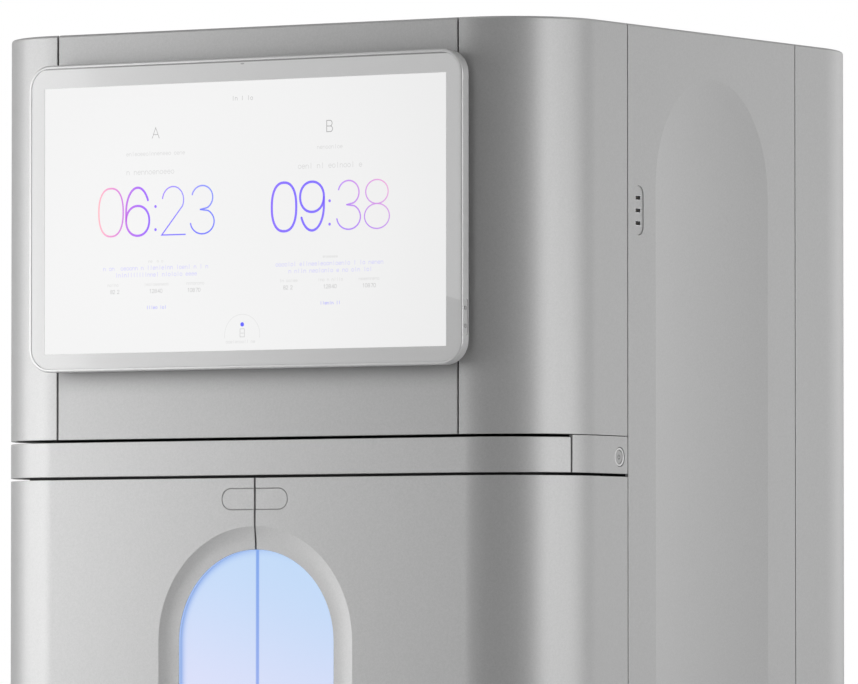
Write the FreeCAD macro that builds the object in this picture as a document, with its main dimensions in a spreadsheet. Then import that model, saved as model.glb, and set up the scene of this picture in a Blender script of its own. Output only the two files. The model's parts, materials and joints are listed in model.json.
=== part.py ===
"""Floor-standing DNA sequencer: a silver cabinet with a lifting visor that carries the touch screen,
a keyboard drawer under it, and two arched, lit doors over the reagent and waste compartments.

Millimetres. X to the right seen from the front, Y to the rear, Z up, origin on the floor under the
middle of the whole instrument, screen included.
"""
import os
import re

import FreeCAD
import Part
import Sketcher
from FreeCAD import Placement, Rotation, Vector

# name, size, what it measures
SIZES = [
    ("body_width", 864, "cabinet, across the side panels"),
    ("body_depth", 903, "cabinet, front plane to rear plane"),
    ("body_height", 1588, "floor to the top edge"),
    ("front_corner_radius", 120, "plan radius of the front corners"),
    ("rear_corner_radius", 188, "plan radius of the rear corners"),
    ("cover_thickness", 5, "wall of every outer cover"),
    ("top_edge_round", 3.5, "rounding of the covers' top edge"),
    ("cover_bottom", 86, "floor to the covers' lower edge"),
    ("seam_gap", 2.5, "gap between neighbouring covers"),
    ("hairline_gap", 0.8, "parting line between covers that never open"),
    ("seat_gap", 0.3, "clearance of pieces that fit into one another"),
    ("close_gap", 0.1, "clearance of small round pieces in their bores"),
    ("corner_seam_inset", 129.5, "side face to the visor's side seam"),
    ("side_seam_reach", 199.8, "front plane back to the side panels' seam"),
    ("rear_seam_reach", 269.9, "rear plane forward to the rear covers' seam"),
    ("rear_panel_inset", 200, "side face to the removable rear panel's edge"),
    ("band_bottom_level", 1015.8, "middle of the gap under the drawer front"),
    ("band_top_level", 1063.8, "middle of the gap over the drawer front"),
    ("band_gap", 3.6, "height of both gaps"),
    ("band_side_reach", 75.6, "front plane back to the drawer front's right end"),
    ("band_depth", 14, "depth of the drawer front's rim"),
    ("base_inset", 30, "plinth behind the covers"),
    ("base_wall", 5, "sheet of the base frame"),
    ("base_bottom", 40, "floor to the plinth's lower edge"),
    ("base_top", 80, "floor to the base plate's upper face"),
    ("foot_inset", 102, "side face to the levelling feet"),
    ("foot_reach", 96.5, "front and rear planes to the levelling feet"),
    ("foot_radius", 36, "pad of a levelling foot"),
    ("foot_pad_height", 12, "pad of a levelling foot"),
    ("foot_stem_radius", 8, "screw of a levelling foot"),
    ("foot_nut_radius", 14, "lock nut under the base plate"),
    ("foot_nut_height", 10, "lock nut under the base plate"),
    ("post_size", 40, "square tube of the uprights"),
    ("post_wall", 3, "wall of the uprights"),
    ("post_setback", 5.2, "front uprights behind the side seam"),
    ("deck_thickness", 5, "sheet of the decks and shelves"),
    ("mid_deck_drop", 0.8, "underside of the deck under the drawer, below the gap's middle"),
    ("upper_deck_rise", 2.2, "underside of the deck over the drawer, above the gap's middle"),
    ("mid_deck_setback", 24, "front edge of the lower deck behind the front plane"),
    ("top_plate_drop", 3, "top plate below the top edge"),
    ("top_plate_gap", 1.5, "top plate to the covers round it"),
    ("dish_margin", 71.65, "seams to the side recess's edges"),
    ("dish_depth", 8, "side recess at its middle"),
    ("dish_offset", 1.95, "recess ahead of the side panel's middle"),
    ("dish_top_drop", 204, "centre of the recess's upper round end below the top edge"),
    ("dish_bottom_level", 290, "centre of the recess's lower round end"),
    ("dish_rim", 7, "backing pad beyond the recess's edge"),
    ("dish_floor", 5, "metal left behind the recess's middle"),
    ("usb_reach", 227.8, "front plane back to the port panel's middle"),
    ("usb_drop", 236, "centre of the port panel below the top edge"),
    ("usb_height", 62.6, "port panel, over its round ends"),
    ("usb_width", 24.6, "port panel"),
    ("usb_recess", 1.6, "port panel below the side panel"),
    ("usb_pitch", 16.1, "between ports"),
    ("port_width", 13.2, "a port's metal shell"),
    ("port_height", 6.2, "a port's metal shell"),
    ("port_wall", 0.6, "a port's metal shell"),
    ("port_depth", 14, "a port's metal shell"),
    ("power_reach", 179.5, "front plane back to the power button"),
    ("power_rise", 22.9, "centre of the power button above the gap under the drawer"),
    ("power_bore", 12.4, "radius of the recess for button and ring"),
    ("power_boss", 16.5, "radius of the sleeve round the button"),
    ("power_sleeve_over", 5.8, "that sleeve behind the pressed button"),
    ("power_ring_inner", 9, "radius inside the ring"),
    ("power_ring_drop", 0.9, "ring below the cover"),
    ("power_button_drop", 1.7, "button below the cover"),
    ("power_ring_length", 14, "ring, front to back"),
    ("power_flange", 11.2, "radius of the button's retaining flange"),
    ("power_flange_depth", 4, "thickness of that flange"),
    ("power_ring_round", 0.8, "ring's front edges"),
    ("power_button_round", 1, "button's front edge"),
    ("power_travel", 2, "press of the power button"),
    ("visor_depth", 24, "visor from front to back"),
    ("visor_liner_thickness", 2.5, "sheet behind the visor"),
    ("visor_post_width", 30, "upright beside the visor"),
    ("visor_post_depth", 34, "upright beside the visor"),
    ("rail_width", 12, "visor rail across the cabinet"),
    ("rail_depth", 12, "visor rail front to back"),
    ("rail_setback", 4.5, "visor rail behind the visor"),
    ("carriage_wall", 4.5, "wall of a runner block behind its rail"),
    ("carriage_height", 60, "a visor runner block"),
    ("carriage_low", 30, "lower runner block over the deck"),
    ("carriage_step", 170, "lower to upper runner block"),
    ("monitor_proud", 30, "screen's front face ahead of the cabinet"),
    ("monitor_width", 655, "screen housing"),
    ("monitor_height", 395, "screen housing"),
    ("monitor_depth", 20, "screen housing"),
    ("monitor_drop", 238.8, "centre of the screen housing below the top edge"),
    ("monitor_corner", 31, "corner radius of the screen housing"),
    ("monitor_back_round", 7, "rear edge of the screen housing"),
    ("monitor_front_round", 2.2, "front edge of the screen housing"),
    ("monitor_rim", 4, "metal rim round the glass"),
    ("glass_drop", 0.6, "glass below the rim"),
    ("glass_thickness", 3, "glass border"),
    ("screen_side_border", 24.5, "housing's side to the lit area"),
    ("screen_top_border", 29.7, "housing's top to the lit area"),
    ("screen_foot_border", 23.3, "housing's lower edge to the lit area"),
    ("mount_width", 240, "bracket between screen and visor"),
    ("mount_height", 130, "bracket between screen and visor"),
    ("mount_corner", 20, "bracket's corner radius"),
    ("key_slot_length", 46, "recess for the screen's buttons"),
    ("key_slot_width", 9, "recess for the screen's buttons"),
    ("key_slot_depth", 1.2, "recess for the screen's buttons"),
    ("key_slot_drop", 138.2, "centre of that recess below the housing's centre"),
    ("key_slot_setback", 9, "recess behind the screen's front face"),
    ("key_radius", 2.8, "a screen button"),
    ("key_pitch", 22.4, "between the two screen buttons"),
    ("key_proud", 0.9, "a screen button over its recess"),
    ("key_length", 7, "a screen button"),
    ("key_travel", 0.8, "press of a screen button"),
    ("key_round", 0.6, "a screen button's edge"),
    ("tray_inset", 4.5, "keyboard tray inside the visor's side seams"),
    ("tray_length", 330, "keyboard tray"),
    ("tray_wall", 2.5, "keyboard tray"),
    ("tray_clearance", 3, "keyboard tray over the lower deck"),
    ("tray_height", 34, "keyboard tray"),
    ("tray_corner", 8, "keyboard tray's corner radius"),
    ("slide_tongue", 12, "moving slide member, across"),
    ("slide_height", 10, "moving slide member"),
    ("slide_length", 345, "both slide members"),
    ("slide_wall", 5.7, "fixed slide member behind its groove"),
    ("slide_channel_height", 34, "fixed slide member"),
    ("door_depth", 20, "depth of a door's rim"),
    ("arch_outer", 146.3, "radius of the door recess's outer edge"),
    ("arch_inner", 116.7, "radius of the window"),
    ("arch_depth", 2.8, "cove at the window's edge"),
    ("arch_top_drop", 207.5, "centre of the window's upper round end below the door's top"),
    ("arch_bottom_level", 380, "centre of the window's lower round end"),
    ("arch_backing", 7, "backing pad beyond the cove"),
    ("window_drop", 7, "window below the door's face"),
    ("window_thickness", 5.8, "light panel in a door"),
    ("window_lip", 8, "lip behind the window's edge"),
    ("lip_thickness", 3, "lip behind the window"),
    ("latch_length", 100, "finger pad over both doors"),
    ("latch_height", 28, "finger pad over both doors"),
    ("latch_drop", 26.8, "centre of the finger pad below the door's top"),
    ("latch_depth", 0.5, "finger pad below the door's face"),
    ("liner_thickness", 3, "inner sheet of a door"),
    ("liner_corner", 6, "corner radius of the inner sheets"),
    ("liner_inset", 128, "side face to the liner's hinge side"),
    ("hinge_inset", 13, "hinge axis inside the side face"),
    ("hinge_reach", 45, "hinge axis ahead of the door's rear edge"),
    ("hinge_pin_radius", 4, "hinge pin"),
    ("hinge_running", 0.06, "clearance of pin and door lug"),
    ("hinge_knuckle", 7, "radius round the pin"),
    ("hinge_arm_half", 9, "half height of a hinge arm"),
    ("hinge_lug", 6, "thickness of a door lug"),
    ("hinge_leg", 12, "width of a hinge arm's legs"),
    ("hinge_neck", 67, "hinge axis to the arm's inner leg"),
    ("hinge_arm_drop", 19, "hinge arm's front leg ahead of the axis"),
    ("hinge_end", 114, "outer hinges from the door's ends"),
    ("bay_gap", 5, "flow cell bay to the visor's runner blocks"),
    ("bay_setback", 50.5, "bay's mouth behind the front plane"),
    ("bay_length", 236, "flow cell bay, front to back"),
    ("bay_height", 259, "flow cell bay"),
    ("bay_wall", 4, "flow cell bay"),
    ("stage_rail_x", 110, "stage rails from the centre"),
    ("stage_rail_width", 20, "a stage rail"),
    ("stage_rail_height", 12, "a stage rail"),
    ("stage_half_width", 150, "stage"),
    ("stage_length", 130, "stage, front to back"),
    ("stage_setback", 16, "stage behind the bay's mouth"),
    ("stage_plate", 15, "stage plate"),
    ("stage_block", 28, "width of a stage bearing"),
    ("stage_travel", 68, "stage, to the rear"),
    ("stage_rail_over", 10, "stage rails behind the stage's last position"),
    ("nest_width", 96, "flow cell nest"),
    ("nest_length", 112, "flow cell nest"),
    ("nest_height", 12, "flow cell nest"),
    ("nest_corner", 6, "flow cell nest's corner radius"),
    ("nest_x", 70, "nests from the centre"),
    ("cell_width", 62, "seat for a flow cell"),
    ("cell_length", 92, "seat for a flow cell"),
    ("cell_depth", 5, "seat for a flow cell"),
    ("cell_corner", 3, "seat's corner radius"),
    ("optics_half_width", 125, "optics head"),
    ("optics_length", 90, "optics head, front to back"),
    ("optics_height", 120, "optics head"),
    ("barrel_radius", 22, "objective"),
    ("barrel_gap", 9, "objective over the nests"),
    ("module_depth", 310, "imaging module behind the bay"),
    ("module_wall", 2.5, "sheet of the inner equipment boxes"),
    ("module_corner", 8, "corner radius of the inner equipment boxes"),
    ("computer_gap", 15, "computer over the bay, under the ceiling"),
    ("rack_gap", 29, "reagent chiller and fluids cabinet to the uprights"),
    ("rack_setback", 208.5, "their front behind the front plane"),
    ("rack_length", 388, "front to back"),
    ("rack_wall", 12, "their walls"),
    ("chiller_level", 550, "underside of the reagent chiller"),
    ("chiller_gap", 15, "reagent chiller under the lower deck"),
    ("chiller_wall", 20, "insulated walls of the chiller"),
    ("sipper_rail", 20, "sipper rail"),
    ("sipper_rail_depth", 16, "sipper rail off the back wall"),
    ("sipper_half_width", 100, "sipper head"),
    ("sipper_length", 120, "sipper head, front to back"),
    ("sipper_height", 60, "sipper head"),
    ("sipper_corner", 8, "sipper head's corner radius"),
    ("sipper_drop", 20, "sipper head under the chiller's ceiling"),
    ("sipper_travel", 100, "sipper, downwards"),
    ("sipper_rail_over", 30, "sipper rail below the sipper's lowest position"),
    ("needle_radius", 2.5, "a sipper needle"),
    ("needle_length", 70, "a sipper needle"),
    ("needle_pitch", 50, "between needles"),
    ("drawer_face", 6, "front plate of the fluid drawers"),
    ("drawer_wall", 4, "walls of the fluid drawers"),
    ("drawer_side_height", 110, "side walls of the fluid drawers"),
    ("drawer_gap", 4, "round a fluid drawer in its bay"),
    ("handle_span", 130, "bar handle"),
    ("handle_bar", 12, "bar handle"),
    ("handle_reach", 26, "bar handle off the drawer's face"),
    ("bottle_side_gap", 9, "waste bottles to the drawer's side walls"),
    ("bottle_height", 300, "waste bottle, up to its shoulder"),
    ("bottle_neck_radius", 24, "waste bottle"),
    ("bottle_neck_height", 40, "waste bottle"),
    ("bottle_foot_round", 10, "waste bottle's lower edge"),
    ("bottle_shoulder_round", 24, "waste bottle's shoulder"),
    ("bottle_neck_round", 4, "waste bottle's cap"),
    ("bottle_gap", 10, "between waste bottles"),
    ("fan_size", 120, "square frame of a fan"),
    ("fan_thickness", 26, "fan, front to back"),
    ("fan_bore", 57, "radius of a fan's opening"),
    ("fan_tip", 54, "radius of a fan's blades"),
    ("fan_hub", 20, "radius of a fan's hub"),
    ("fan_x", 95, "fans from the centre"),
    ("fan_drop", 148, "centre of the fans below the top edge"),
    ("fan_spoke", 8, "arm that holds a fan's motor"),
    ("fan_plate", 3, "arms and motor plate of a fan"),
    ("fan_corner", 6, "corner radius of a fan's frame"),
    ("blade_clear", 8, "fan's depth beyond its blades"),
    ("blade_bite", 3, "blade root inside the hub"),
    ("blade_root_half", 9, "half chord of a blade at the hub"),
    ("blade_tip_half", 11, "half chord of a blade at its tip"),
    ("blade_half_thickness", 0.9, "a blade"),
    ("slot_height", 6, "vent slot"),
    ("slot_pitch", 13, "between vent slots"),
    ("slot_length", 104, "vent slot"),
    ("slot_count", 8, "vent slots over a fan"),
    ("inlet_level", 190, "centre of the mains inlet"),
    ("inlet_x", 120, "mains inlet from the centre"),
    ("inlet_width", 50, "mains inlet"),
    ("inlet_height", 30, "mains inlet"),
    ("inlet_depth", 24, "mains inlet"),
    ("inlet_wall", 3, "mains inlet"),
    ("inlet_flange", 4, "mains inlet's flange round the cut-out"),
    ("inlet_corner", 3, "mains inlet's corner radius"),
    ("supply_height", 240, "power supply"),
    ("supply_half_width", 210, "power supply"),
    ("supply_gap", 51.5, "power supply behind the fluids cabinet"),
    ("supply_setback", 30, "power supply ahead of the rear plane"),
]

DOOR_TOP = "(band_bottom_level - band_gap / 2)"

# name, formula, what it measures: sizes that follow from the ones above
FOLLOWING = [
    ("corner_seam_x", "body_width / 2 - corner_seam_inset", "centre to the visor's side seams"),
    ("rear_panel_half", "body_width / 2 - rear_panel_inset", "half width of the removable rear panel"),
    ("foot_x", "body_width / 2 - foot_inset", "levelling feet from the centre"),
    ("foot_front_y", "(body_depth - monitor_proud) / 2 - foot_reach", "front feet ahead of the origin"),
    ("foot_rear_y", "(body_depth + monitor_proud) / 2 - foot_reach", "rear feet behind the origin"),
    ("mid_deck_level", "band_bottom_level - mid_deck_drop", "underside of the deck under the drawer"),
    ("upper_deck_level", "band_top_level + upper_deck_rise", "underside of the deck over the drawer"),
    ("dish_half_width", "(body_depth - side_seam_reach - rear_seam_reach) / 2 - dish_margin",
     "side recess, centre to edge"),
    ("dish_centre_reach", "(body_depth + side_seam_reach - rear_seam_reach) / 2 - dish_offset",
     "front plane back to the recess's middle"),
    ("dish_top_level", "body_height - dish_top_drop", "centre of the recess's upper round end"),
    ("usb_level", "body_height - usb_drop", "centre of the port panel"),
    ("power_level", "band_bottom_level + power_rise", "centre of the power button"),
    ("power_sleeve", "power_ring_drop + power_ring_length + seat_gap + power_flange_depth + power_travel"
     " + power_sleeve_over", "length of the sleeve round the button"),
    ("monitor_level", "body_height - monitor_drop", "centre of the screen housing"),
    ("screen_width", "monitor_width - 2 * screen_side_border", "lit area"),
    ("screen_height", "monitor_height - screen_top_border - screen_foot_border", "lit area"),
    ("screen_level", "monitor_level - (screen_top_border - screen_foot_border) / 2", "centre of the lit area"),
    ("key_slot_level", "monitor_level - key_slot_drop", "centre of the recess for the screen's buttons"),
    ("tray_half_width", "corner_seam_x - tray_inset", "keyboard tray"),
    ("tray_level", "mid_deck_level + deck_thickness + tray_clearance", "underside of the keyboard tray"),
    ("arch_top_level", f"{DOOR_TOP} - arch_top_drop", "centre of the window's upper round end"),
    ("latch_level", f"{DOOR_TOP} - latch_drop", "centre of the finger pad"),
    ("liner_reach", "body_width / 2 - liner_inset", "centre to the liner's hinge side"),
    ("hinge_arm_x", "body_width / 2 - hinge_inset - hinge_neck", "centre to the hinge arm's inner leg"),
    ("hinge_low", "cover_bottom + hinge_end", "lowest hinge"),
    ("hinge_step", f"({DOOR_TOP} - cover_bottom) / 2 - hinge_end", "between hinges"),
    ("bay_half_width", "corner_seam_x + seam_gap - 2 * rail_width - bay_gap", "flow cell bay"),
    ("computer_height", "body_height - top_plate_drop - 2 * deck_thickness - computer_gap"
     " - upper_deck_level - bay_height", "computer over the bay"),
    ("rack_half_width", "body_width / 2 - cover_thickness - post_size - rack_gap",
     "reagent chiller and fluids cabinet"),
    ("chiller_top", "mid_deck_level - chiller_gap", "upper face of the reagent chiller"),
    ("drawer_middle", "(rack_half_width - rack_wall / 2) / 2", "centre to a fluid drawer's middle"),
    ("bottle_radius", "(rack_half_width - 3 * rack_wall / 2 - 2 * drawer_gap - 2 * drawer_wall"
     " - bottle_gap - 2 * bottle_side_gap) / 4", "waste bottle"),
    ("bottle_step", "2 * bottle_radius + bottle_gap", "between waste bottles"),
    ("fan_level", "body_height - fan_drop", "centre of the fans"),
    ("supply_length", "body_depth - rack_setback - rack_length - supply_gap - supply_setback"
     " - cover_thickness", "power supply"),
]
NAMES = [row[0] for row in SIZES + FOLLOWING]

HALF = "body_width / 2"
FRONT = "(monitor_proud - body_depth) / 2"
REAR = "(monitor_proud + body_depth) / 2"
SIDE_SEAM = f"({FRONT} + side_seam_reach)"
REAR_SEAM = f"({REAR} - rear_seam_reach)"
INNER_X = f"({HALF} - cover_thickness)"
VISOR_SIDE = "(corner_seam_x - seam_gap / 2)"
VISOR_BACK = f"({FRONT} + visor_depth)"
BAND_BOTTOM = "(band_bottom_level + band_gap / 2)"
BAND_TOP = "(band_top_level - band_gap / 2)"
UPPER_BOTTOM = "(band_top_level + band_gap / 2)"
UPPER_FLOOR = "(upper_deck_level + deck_thickness)"
CEILING = "(body_height - top_plate_drop - deck_thickness)"
RAIL_SEAT = "(corner_seam_x + seam_gap)"

# millimetres: how far a cutter reaches past what it cuts, and a fused piece into its neighbour
BEYOND = 20
PAST = 1
BLADES = 7
BLADE_TURNS = {"root": 50, "tip": 28}
NEEDLE_COLUMNS = 4
NEEDLE_ROWS = 2
HINGES = 3

doc = FreeCAD.newDocument("sequencer")
sheet = doc.addObject("Spreadsheet::Sheet", "Sizes")
nodes = []


def fill_sheet():
    """Writes the sizes into the sheet, one row each, with their names as aliases."""
    formulas = [(name, f"={formula}", meaning) for name, formula, meaning in FOLLOWING]
    for row, (name, content, meaning) in enumerate(SIZES + formulas, start=1):
        sheet.set(f"A{row}", name)
        sheet.set(f"B{row}", str(content))
        sheet.set(f"C{row}", meaning)
        sheet.setAlias(f"B{row}", name)
    doc.recompute()


def bound(text):
    """Adds the sheet's name to each size named in an expression."""
    def named(found):
        return f"Sizes.{found.group()}" if found.group() in NAMES else found.group()

    return re.sub(r"[a-z][a-z_]+", named, str(text))


def value(text):
    """The present value of an expression of sizes, for code that needs a number."""
    return sheet.evalExpression(bound(text)) if isinstance(text, str) else text


def bind(thing, **places):
    """Binds properties to expressions of sizes; a double underscore stands for a dot."""
    for place, text in places.items():
        thing.setExpression(place.replace("__", "."), bound(text))
    return thing


def node(name, thing):
    """Makes an object a sub-part of the instrument, under the name of its file."""
    thing.Label = name
    nodes.append(thing)
    return thing


def box(name, x, y, z):
    """A block between the two expressions of each axis."""
    block = doc.addObject("Part::Box", name)
    bind(block, Length=f"({x[1]}) - ({x[0]})", Width=f"({y[1]}) - ({y[0]})", Height=f"({z[1]}) - ({z[0]})")
    return bind(block, Placement__Base__x=x[0], Placement__Base__y=y[0], Placement__Base__z=z[0])


TURNS = {"x": Rotation(Vector(0, 1, 0), 90), "y": Rotation(Vector(1, 0, 0), -90), "z": Rotation()}


def rod(name, axis, centre, span, radius):
    """A cylinder along an axis; centre holds the other two places in X, Y, Z order."""
    cylinder = doc.addObject("Part::Cylinder", name)
    cylinder.Placement = Placement(Vector(), TURNS[axis])
    places = list(centre)
    places.insert("xyz".index(axis), span[0])
    bind(cylinder, Radius=radius, Height=f"({span[1]}) - ({span[0]})")
    x, y, z = places
    return bind(cylinder, Placement__Base__x=x, Placement__Base__y=y, Placement__Base__z=z)


def fuse(name, *pieces):
    """One solid from several."""
    joined = doc.addObject("Part::MultiFuse", name)
    joined.Shapes = list(pieces)
    joined.Refine = True
    return joined


def cut(name, base, *tools):
    """The base without the tools."""
    remainder = doc.addObject("Part::Cut", name)
    remainder.Base = base
    remainder.Tool = tools[0] if len(tools) == 1 else fuse(f"{name}_tools", *tools)
    remainder.Refine = True
    return remainder


def common(name, base, tool):
    """What two solids share."""
    shared = doc.addObject("Part::Common", name)
    shared.Base = base
    shared.Tool = tool
    shared.Refine = True
    return shared


def mirrored(name, source):
    """The same piece on the cabinet's other side."""
    copy = doc.addObject("Part::Mirroring", name)
    copy.Source = source
    copy.Normal = Vector(1, 0, 0)
    return copy


def group(name, *pieces):
    """Separate solids kept as one sub-part."""
    together = doc.addObject("Part::Compound", name)
    together.Links = list(pieces)
    return together


def pill(name, centre, levels, radius, span, axis="y"):
    """An upright block with round ends, through the cabinet's front (axis y) or side (axis x)."""
    low, high = levels
    wide = (f"{centre} - ({radius})", f"{centre} + {radius}")
    plan = (wide, span) if axis == "y" else (span, wide)
    middle = box(f"{name}_middle", *plan, (low, high))
    ends = [rod(f"{name}_{end}_end", axis, (centre, level), span, radius)
            for end, level in (("lower", low), ("upper", high))]
    return fuse(name, middle, *ends)


def origin_plane(body, role):
    """One of a body's own origin planes or axes."""
    return next(feature for feature in body.Origin.OriginFeatures if feature.Role == role)


def sketch_on(body, role, name, offset="0"):
    """A sketch on an origin plane of its body, moved along the plane's normal."""
    sketch = body.newObject("Sketcher::SketchObject", name)
    sketch.AttachmentSupport = [(origin_plane(body, role), "")]
    sketch.MapMode = "FlatFace"
    bind(sketch, AttachmentOffset__Base__z=offset)
    return sketch


def constrain(sketch, text, *constraint):
    """Adds a dimension and binds it to an expression of sizes."""
    index = sketch.addConstraint(Sketcher.Constraint(*constraint, value(text)))
    sketch.setExpression(f"Constraints[{index}]", bound(text))


def outline(sketch, corners):
    """A closed outline of level and upright edges. Each corner is u, v and a rounding, or None."""
    points = [Vector(value(u), value(v), 0) for u, v, _ in corners]
    rounds = [value(corner[2] or 0) for corner in corners]
    count = len(corners)
    steps = [(points[(i + 1) % count] - points[i]).normalize() for i in range(count)]
    lines = []
    for i in range(count):
        start = points[i] + steps[i] * rounds[i]
        end = points[(i + 1) % count] - steps[i] * rounds[(i + 1) % count]
        lines.append(sketch.addGeometry(Part.LineSegment(start, end)))
        way = "Horizontal" if abs(steps[i].y) < 0.5 else "Vertical"
        sketch.addConstraint(Sketcher.Constraint(way, lines[i]))
    for i in range(count):
        before = lines[i - 1]
        if rounds[i]:
            centre = points[i] - steps[i - 1] * rounds[i] + steps[i] * rounds[i]
            middle = centre + (steps[i - 1] - steps[i]).normalize() * rounds[i]
            arc = sketch.addGeometry(Part.Arc(points[i] - steps[i - 1] * rounds[i], middle,
                                              points[i] + steps[i] * rounds[i]))
            left_turn = steps[i - 1].cross(steps[i]).z > 0
            first, last = (1, 2) if left_turn else (2, 1)
            sketch.addConstraint(Sketcher.Constraint("Tangent", before, 2, arc, first))
            sketch.addConstraint(Sketcher.Constraint("Tangent", arc, last, lines[i], 1))
            constrain(sketch, corners[i][2], "Radius", arc)
        else:
            sketch.addConstraint(Sketcher.Constraint("Coincident", before, 2, lines[i], 1))
    for i in range(count):
        if abs(steps[i].y) < 0.5:
            constrain(sketch, corners[i][1], "DistanceY", -1, 1, lines[i], 1)
        else:
            constrain(sketch, corners[i][0], "DistanceX", -1, 1, lines[i], 1)
    return sketch


def rectangle(x, y, corner=None):
    """The four corners of a rectangle between two expressions each way."""
    return [(x[0], y[0], corner), (x[1], y[0], corner), (x[1], y[1], corner), (x[0], y[1], corner)]


# the sketch plane whose normal is each axis, and the way the normal points along it
PLANES = {"x": ("YZ_Plane", 1), "y": ("XZ_Plane", -1), "z": ("XY_Plane", 1)}


def prism(name, axis, corners, span):
    """A body padded from an outline along an axis, between two expressions."""
    body = doc.addObject("PartDesign::Body", name)
    role, sense = PLANES[axis]
    start = span[0] if sense > 0 else f"-({span[1]})"
    sketch = outline(sketch_on(body, role, f"{name}_outline", start), corners)
    pad = body.newObject("PartDesign::Pad", f"{name}_pad")
    pad.Profile = sketch
    bind(pad, Length=f"({span[1]}) - ({span[0]})")
    sketch.Visibility = False
    return body


def pocket(body, name, axis, corners, span):
    """Takes an outline out of a body, between two expressions along an axis."""
    role, sense = PLANES[axis]
    start = span[0] if sense > 0 else f"-({span[1]})"
    sketch = outline(sketch_on(body, role, f"{name}_outline", start), corners)
    hollow = body.newObject("PartDesign::Pocket", name)
    hollow.Profile = sketch
    hollow.Reversed = True
    bind(hollow, Length=f"({span[1]}) - ({span[0]})")
    return hollow


def soften(body, name, radius, wanted):
    """Rounds the edges of a body's last feature that the test picks."""
    doc.recompute()
    base = body.Tip
    edges = [f"Edge{i}" for i, edge in enumerate(base.Shape.Edges, start=1) if wanted(edge.BoundBox)]
    fillet = body.newObject("PartDesign::Fillet", name)
    fillet.Base = (base, edges)
    bind(fillet, Radius=radius)
    return fillet


def turned(name, profile, place, axis="z"):
    """A body turned on a lathe: a profile of radius and height about an axis through a place."""
    body = doc.addObject("PartDesign::Body", name)
    sketch = outline(sketch_on(body, "XZ_Plane", f"{name}_profile"), profile)
    turn = body.newObject("PartDesign::Revolution", f"{name}_turn")
    turn.Profile = sketch
    turn.ReferenceAxis = (sketch, ["V_Axis"])
    turn.Angle = 360
    body.Placement = Placement(Vector(), TURNS[axis])
    x, y, z = place
    return bind(body, Placement__Base__x=x, Placement__Base__y=y, Placement__Base__z=z)


def cabinet_outline(inset):
    """The cabinet's plan outline, moved inwards."""
    side, front, rear = f"{HALF} - ({inset})", f"{FRONT} + {inset}", f"{REAR} - ({inset})"
    front_round, rear_round = f"front_corner_radius - ({inset})", f"rear_corner_radius - ({inset})"
    return [(f"-({side})", front, front_round), (side, front, front_round),
            (side, rear, rear_round), (f"-({side})", rear, rear_round)]


def at_height(level):
    """Picks edges that lie at one height."""
    return lambda bounds: abs(bounds.ZMin - value(level)) < 1e-3 and abs(bounds.ZMax - value(level)) < 1e-3


def make_shells():
    """The outer form, and the offsets of it that every cover is cut from."""
    outer = prism("shell_outer", "z", cabinet_outline("0"), ("cover_bottom", "body_height"))
    soften(outer, "shell_top_round", "top_edge_round", at_height("body_height"))
    tall = (f"cover_bottom - {BEYOND}", f"body_height + {BEYOND}")
    inner = prism("shell_inner", "z", cabinet_outline("cover_thickness"), tall)
    deep = prism("shell_door_depth", "z", cabinet_outline("door_depth"), tall)
    rim = prism("shell_band_depth", "z", cabinet_outline("band_depth"), tall)
    return {
        "outer": outer,
        "inner": inner,
        "skin": cut("cover_skin", outer, inner),
        "door": cut("door_ring", outer, deep),
        "band": cut("band_ring", outer, rim),
    }


def port_clearance():
    """The cut-out that the front right upright needs behind the port panel."""
    middle = f"({FRONT} + usb_reach)"
    reach = "(usb_width / 2 + cover_thickness + seam_gap)"
    height = "(usb_height / 2 + cover_thickness + seam_gap)"
    return box("port_clearance", (f"{HALF} - usb_recess - port_depth - seam_gap", HALF),
               (f"{middle} - {reach}", f"{middle} + {reach}"),
               (f"usb_level - {height}", f"usb_level + {height}"))


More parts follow.
